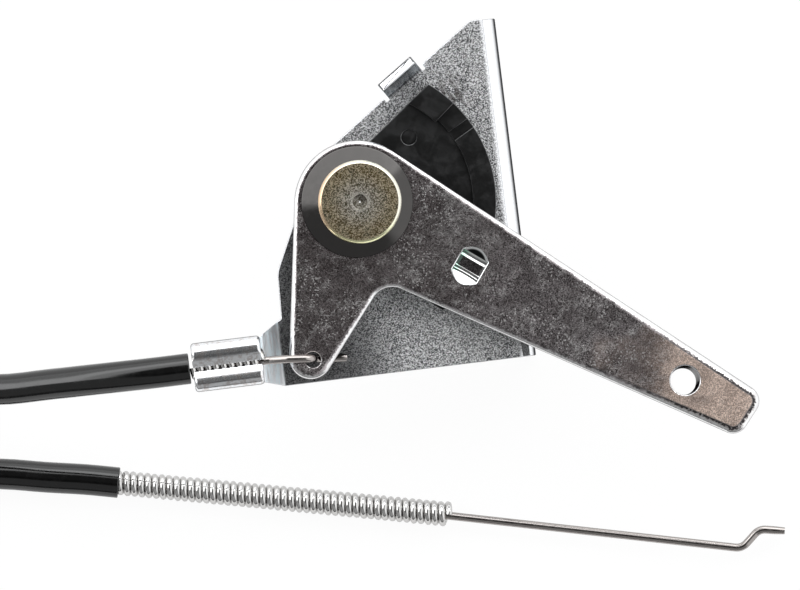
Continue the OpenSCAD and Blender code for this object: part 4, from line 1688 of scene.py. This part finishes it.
@dataclass
class CableAssembly:
    """Spiral conduit, sheath and inner wire, from the clamp by the coil to the far end."""

    layout: Layout
    near_end: float = -30.55
    near_mouth: float = -18.15
    conduit_r: float = 2.04
    pitch: float = 1.15
    strand_gap: float = 0.015
    strand_sides: int = 12
    spiral_steps: int = 28
    far_flare: float = 0.05
    hidden_l: float = 1.6
    sheath_r: float = 2.5
    sheath_lip: float = 0.12
    wire_r: float = 0.65
    wire_tip: float = 0.86
    near_bend: float = 1.4
    hook_bend: float = 2.2
    far_a: float = -12.46
    wire_a: float = -13.33
    bare_l: float = 54.3
    bare_wire_l: float = 47.3
    run_on: float = 11.0
    conduit_tip: Place = (8.66, -52.04)
    coil_centre: Place = (-118.0, -30.0)
    coil_r: tuple[float, float] = (22.5, 27.5)
    coil_z: tuple[float, float] = (2.9, 7.9)
    tie_inner: float = 5.02
    tie_t: float = 0.38
    tie_half_w: float = 1.5
    tie_corner: float = 2.4
    near_route: tuple[tuple[float, float, float], ...] = (
        (-30.5, -23.3, 24.6), (-37, -23.3, 24.5), (-45, -23.2, 22.6), (-53, -23.1, 18.9), (-62, -22.9, 14.6),
        (-71, -21, 11.2), (-79, -16.6, 9.2), (-86, -10.6, 8.4), (-93.5, -5.4, 8), (-102, -3, 7.9),
        (-110, -2.5, 7.9), (-118, -2.5, 7.9),
    )  # fmt: skip
    far_route: tuple[tuple[float, float, float], ...] = (
        (-118, -57.5, 2.9), (-110, -57.5, 2.8), (-102, -57.1, 2.5), (-94, -54.4, 2.5), (-87.5, -48.8, 2.5),
        (-81.5, -42.2, 2.5), (-75.5, -37.5, 2.5), (-69, -36, 2.5), (-62.5, -36.7, 2.5), (-56, -38, 2.5),
    )  # fmt: skip

    def __post_init__(self) -> None:
        """Works out the far strand's directions and ends."""
        self.far_way = raised(unit(self.far_a), 0)
        self.wire_way = raised(unit(self.wire_a), 0)
        self.tip = raised(self.conduit_tip, self.layout.floor_cable)
        self.sheath_tip = self.tip - self.bare_l * self.far_way

    def spiral(self, start: Vector, way: Vector, length: float, flare: float) -> Shaper:
        """Winds a spiral of round wire.

        Args:
            start: Where it starts.
            way: The direction of its axis.
            length: Its length.
            flare: How much wider its last turn is.

        Returns:
            The spiral's shape.
        """
        strand = self.pitch / 2 - self.strand_gap
        turns = math.floor((length - 2 * strand) / self.pitch)
        pitch = (length - 2 * strand) / turns
        winding = self.conduit_r - strand
        shape = Shaper()
        angles = (FULL_TURN * k / self.strand_sides for k in range(self.strand_sides))
        section = [(strand + strand * math.cos(a), 0, winding + strand * math.sin(a)) for a in angles]
        verts = shape.ring([Vector(p) for p in section])
        bmesh.ops.spin(
            shape.bm, geom=[*verts, *shape.edges(verts)], cent=(0, 0, 0), axis=(1, 0, 0),
            dvec=(pitch / self.spiral_steps, 0, 0), angle=FULL_TURN * turns, steps=self.spiral_steps * turns,
            use_merge=False,
        )  # fmt: skip
        open_edges = [e for e in shape.bm.edges if e.is_boundary]
        bmesh.ops.holes_fill(shape.bm, edges=open_edges, sides=self.strand_sides)
        for vert in shape.bm.verts:
            near_end = max(0.0, 1 - (length - vert.co.x) / (1.2 * pitch))
            wobble = 0.012 * math.sin(vert.co.x * 2.3) + 0.01 * math.sin(vert.co.x * 5.1)
            scale = 1 + flare * near_end + wobble
            vert.co.y *= scale
            vert.co.z *= scale
        turn = Vector((1, 0, 0)).rotation_difference(way).to_matrix().to_4x4()
        bmesh.ops.transform(shape.bm, matrix=Matrix.Translation(start) @ turn, verts=shape.bm.verts)
        shape.tidy()
        return shape

    def conduit(self, bench: Bench) -> bpy.types.Object:
        """Makes the spiral conduit where it shows.

        Args:
            bench: The bench.

        Returns:
            The conduit's far end.
        """
        finish = PlatedFinish(
            "spiral_bright", Slot.SPIRAL, dark=(0.42, 0.41, 0.4), light=(0.66, 0.65, 0.64),
            edge=(0.66, 0.65, 0.64), grain_mm=0.9, grain_range=(0.25, 0.6), cloud_mm=5.0, cloud_share=0.3,
            rough=(0.1, 0.16), edge_rough=0.1, grain_um=0.5,
        )  # fmt: skip
        start = Vector((self.near_end, self.layout.clamp_y, self.layout.cable))
        near = self.spiral(start, Vector((1, 0, 0)), self.near_mouth - self.near_end, 0.0)
        bench.piece(near, "conduit_in_clamp", finish, Body.ROOT, ["conduit_near_end"], crease=60)
        start = self.sheath_tip - self.hidden_l * self.far_way
        far = self.spiral(start, self.far_way, self.bare_l + self.hidden_l, self.far_flare)
        return bench.piece(far, "conduit_bare_end", finish, Body.ROOT, ["conduit_far_end"], crease=60)

    def coil(self) -> list[tuple[float, float, float]]:
        """Lists points of the three and a half turns of the coil.

        Returns:
            The points, from the near run to the far run.
        """
        inner, outer = self.coil_r
        low, high = self.coil_z
        made = []
        for angle in range(100, 1350, 10):
            inward, down, outward = (self.ease(angle, at, at + 60) for at in (390, 690, 990))
            spot = Vector(self.coil_centre) + (outer + (inner - outer) * (inward - outward)) * unit(angle)
            made.append((spot.x, spot.y, high + (low - high) * down))
        return made

    @staticmethod
    def ease(value: float, low: float, high: float) -> float:
        """Returns a smooth step from 0 at low to 1 at high."""
        share = limited(value, low, high)
        return share * share * (3 - 2 * share)

    def sheath(self, bench: Bench) -> None:
        """Args:
            bench: The bench.
        """
        ends = [tuple(self.sheath_tip - 5.5 * self.far_way), tuple(self.sheath_tip)]
        route = Route.smooth([*self.near_route, *self.coil(), *self.far_route, *ends], 4)
        last = len(route.points) - 1
        wall, bore_r, lip = self.sheath_r, self.conduit_r + 0.06, self.sheath_lip
        rings = route.rings(wall, wall - lip)
        for place, beside in ((0, 1), (last, last - 1)):
            centre = route.points[place]
            inward = (route.points[beside] - centre).normalized()
            edge = rings[0 if place == 0 else -1]
            spokes = [(p - centre).normalized() for p in edge]
            bore = [centre + spoke * bore_r for spoke in spokes]
            shoulder = [centre + spoke * wall + inward * lip for spoke in spokes]
            depths, below = [p + 2.0 * inward for p in bore], [p + 0.15 * inward for p in shoulder]
            mouth = [depths, bore, edge, shoulder, below]
            rings = [*mouth, *rings[1:]] if place == 0 else [*rings[:-1], *reversed(mouth)]
        shape = Shaper()
        shape.loft(rings, closed=True)
        shape.tidy()
        finish = MouldedFinish(
            "sheath_vinyl", Slot.SHEATH, colour=(0.0015, 0.0015, 0.0015), pale=(0.004, 0.004, 0.004),
            rough=(0.1, 0.18), grain_mm=0.8, grain_um=3.0, patch_mm=1.6, specular=0.68,
        )  # fmt: skip
        nodes = ["sheath_near_run", "sheath_coil", "sheath_far_run"]
        made = bench.piece(shape, "cable_sheath", finish, Body.ROOT, nodes, crease=50)
        run_on = Route((*route.points, self.sheath_tip + self.run_on * self.far_way))
        path = [tuple(bench.at(p)) for p in run_on.points]
        log.info("sheath length %.1f mm", route.length())
        round(run_on.length() * MM, 3)  # fmt: skip

    def tie(self, bench: Bench) -> bpy.types.Object:
        """Makes the flat strap that holds the coil's turns together.

        Args:
            bench: The bench.

        Returns:
            The strap.
        """
        inner, thick, half_w = self.tie_inner, self.tie_t, self.tie_half_w
        middle_r, middle_z = sum(self.coil_r) / 2, (self.coil_z[0] + self.coil_z[1]) / 2
        centre = Vector((self.coil_centre[0] - middle_r, self.coil_centre[1], middle_z))
        corners = ((-inner, -inner), (inner, -inner), (inner, inner), (-inner, inner))
        section = Outline(tuple((x, y, self.tie_corner) for x, y in corners), 8)
        skin = (
            (0, -half_w), (-thick, -half_w + 0.1), (-thick, half_w - 0.1), (0, half_w), (0.02, half_w - 0.05),
            (0.02, -half_w + 0.05),
        )  # fmt: skip
        shape = Shaper()
        rings = [[centre + Vector((p.x, side, p.y)) for p in section.points(inset)] for inset, side in skin]
        first, last = shape.loft(rings)
        bmesh.ops.bridge_loops(shape.bm, edges=[*shape.edges(first), *shape.edges(last)])
        head = bmesh.ops.create_cube(shape.bm, size=1.0)["verts"]
        bmesh.ops.scale(shape.bm, vec=(1.6, 3.6, 3.2), verts=head)
        bmesh.ops.translate(shape.bm, vec=centre + Vector((-inner - thick + 0.75, 0, 1.0)), verts=head)
        shape.soften(list({e for v in head for e in v.link_edges}), 0.3, 2)
        shape.tidy()
        finish = MouldedFinish(
            "strap_nylon", Slot.TIE, colour=(0.62, 0.62, 0.6), pale=(0.74, 0.74, 0.72), rough=(0.35, 0.5),
            grain_um=1.0,
        )  # fmt: skip
        return bench.piece(shape, "coil_strap", finish, Body.ROOT, ["coil_tie"])

    def wire(self, bench: Bench, name: str, route: Route, body: Body | None, node: str) -> bpy.types.Object:
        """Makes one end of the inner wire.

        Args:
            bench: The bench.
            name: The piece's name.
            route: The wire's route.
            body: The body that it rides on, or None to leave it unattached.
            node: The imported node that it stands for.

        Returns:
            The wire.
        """
        finish = PlatedFinish(
            "wire_bare_steel", Slot.WIRE, dark=(0.26, 0.23, 0.22), light=(0.44, 0.41, 0.39),
            edge=(0.4, 0.37, 0.355), grain_mm=0.9, grain_range=(0.3, 0.65), cloud_mm=3.0, cloud_share=0.4,
            rough=(0.14, 0.22), edge_rough=0.14, grain_um=0.8,
        )  # fmt: skip
        shape = Shaper()
        shape.loft(route.rings(self.wire_r, self.wire_r * self.wire_tip), closed=True)
        shape.tidy()
        return bench.piece(shape, name, finish, body, [node], crease=50)

    def near_wire(self, bench: Bench, hole: Vector) -> None:
        """Makes the wire from the clamp over the short arm and down its hole.

        Args:
            bench: The bench.
            hole: Centre of the hole in plan.
        """
        over = self.layout.lever_top + self.wire_r + 0.15
        under = self.layout.lever - self.wire_r - 0.15
        leg = hole + Vector((0.1, 0.2))
        mouth, side, height = self.layout.clamp_mouth, self.layout.clamp_y, self.layout.cable
        corners = [
            (-27.95, side - 0.1, height), (mouth + 1.2, side - 0.25, height),
            (mouth + 4.2, side - 0.42, over), (*leg, over), (*leg, under), (leg.x + 5.4, leg.y - 0.5, under),
        ]  # fmt: skip
        route = Route.bent(corners, self.near_bend, 8, 0.5)
        made = self.wire(bench, "wire_at_lever", route, None, "wire_near_end")
        start, end = bench.at((mouth, side, over)), bench.at((leg.x - 1.6, leg.y, over))
        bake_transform(made)

    def far_wire(self, bench: Bench) -> bpy.types.Object:
        """Makes the wire beyond the conduit, with its flat double bend.

        Args:
            bench: The bench.

        Returns:
            The wire.
        """
        mouth = self.tip + 0.25 * Vector((self.far_way.y, -self.far_way.x, 0))
        bend = mouth + self.bare_wire_l * self.wire_way
        turns = [bend + Vector(step) for step in ((3.12, 2.74, 0), (7.2, 1.96, 0))]
        corners = [mouth - 5 * self.wire_way, bend, *turns]
        route = Route.bent(corners, self.hook_bend, 12, 3.0)
        return self.wire(bench, "wire_far_hook", route, Body.FAR_WIRE, "wire_far_end")

    def build(self, bench: Bench, lever: LeverAssembly) -> None:
        """Makes the conduit, the wires, the tie and the sheath.

        Args:
            bench: The bench.
            lever: The lever that the wire goes through.
        """
        bare = self.conduit(bench)
        hook = self.far_wire(bench)
        strap = self.tie(bench)
        self.near_wire(bench, lever.wire_hole)
        self.sheath(bench)


def main() -> None:
    """Builds the stage and every sub-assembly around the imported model."""
    logging.basicConfig(level=logging.INFO, format="%(name)s: %(message)s")
    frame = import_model()
    bench = Bench(frame)
    Studio().build(bench)
    layout = Layout()
    lever = LeverAssembly(layout)
    CableAssembly(layout).build(bench, lever)
    BracketAssembly(layout).build(bench)
    lever.build(bench)
    PivotAssembly(layout).build(bench)


if __name__ == "__main__":
    main()
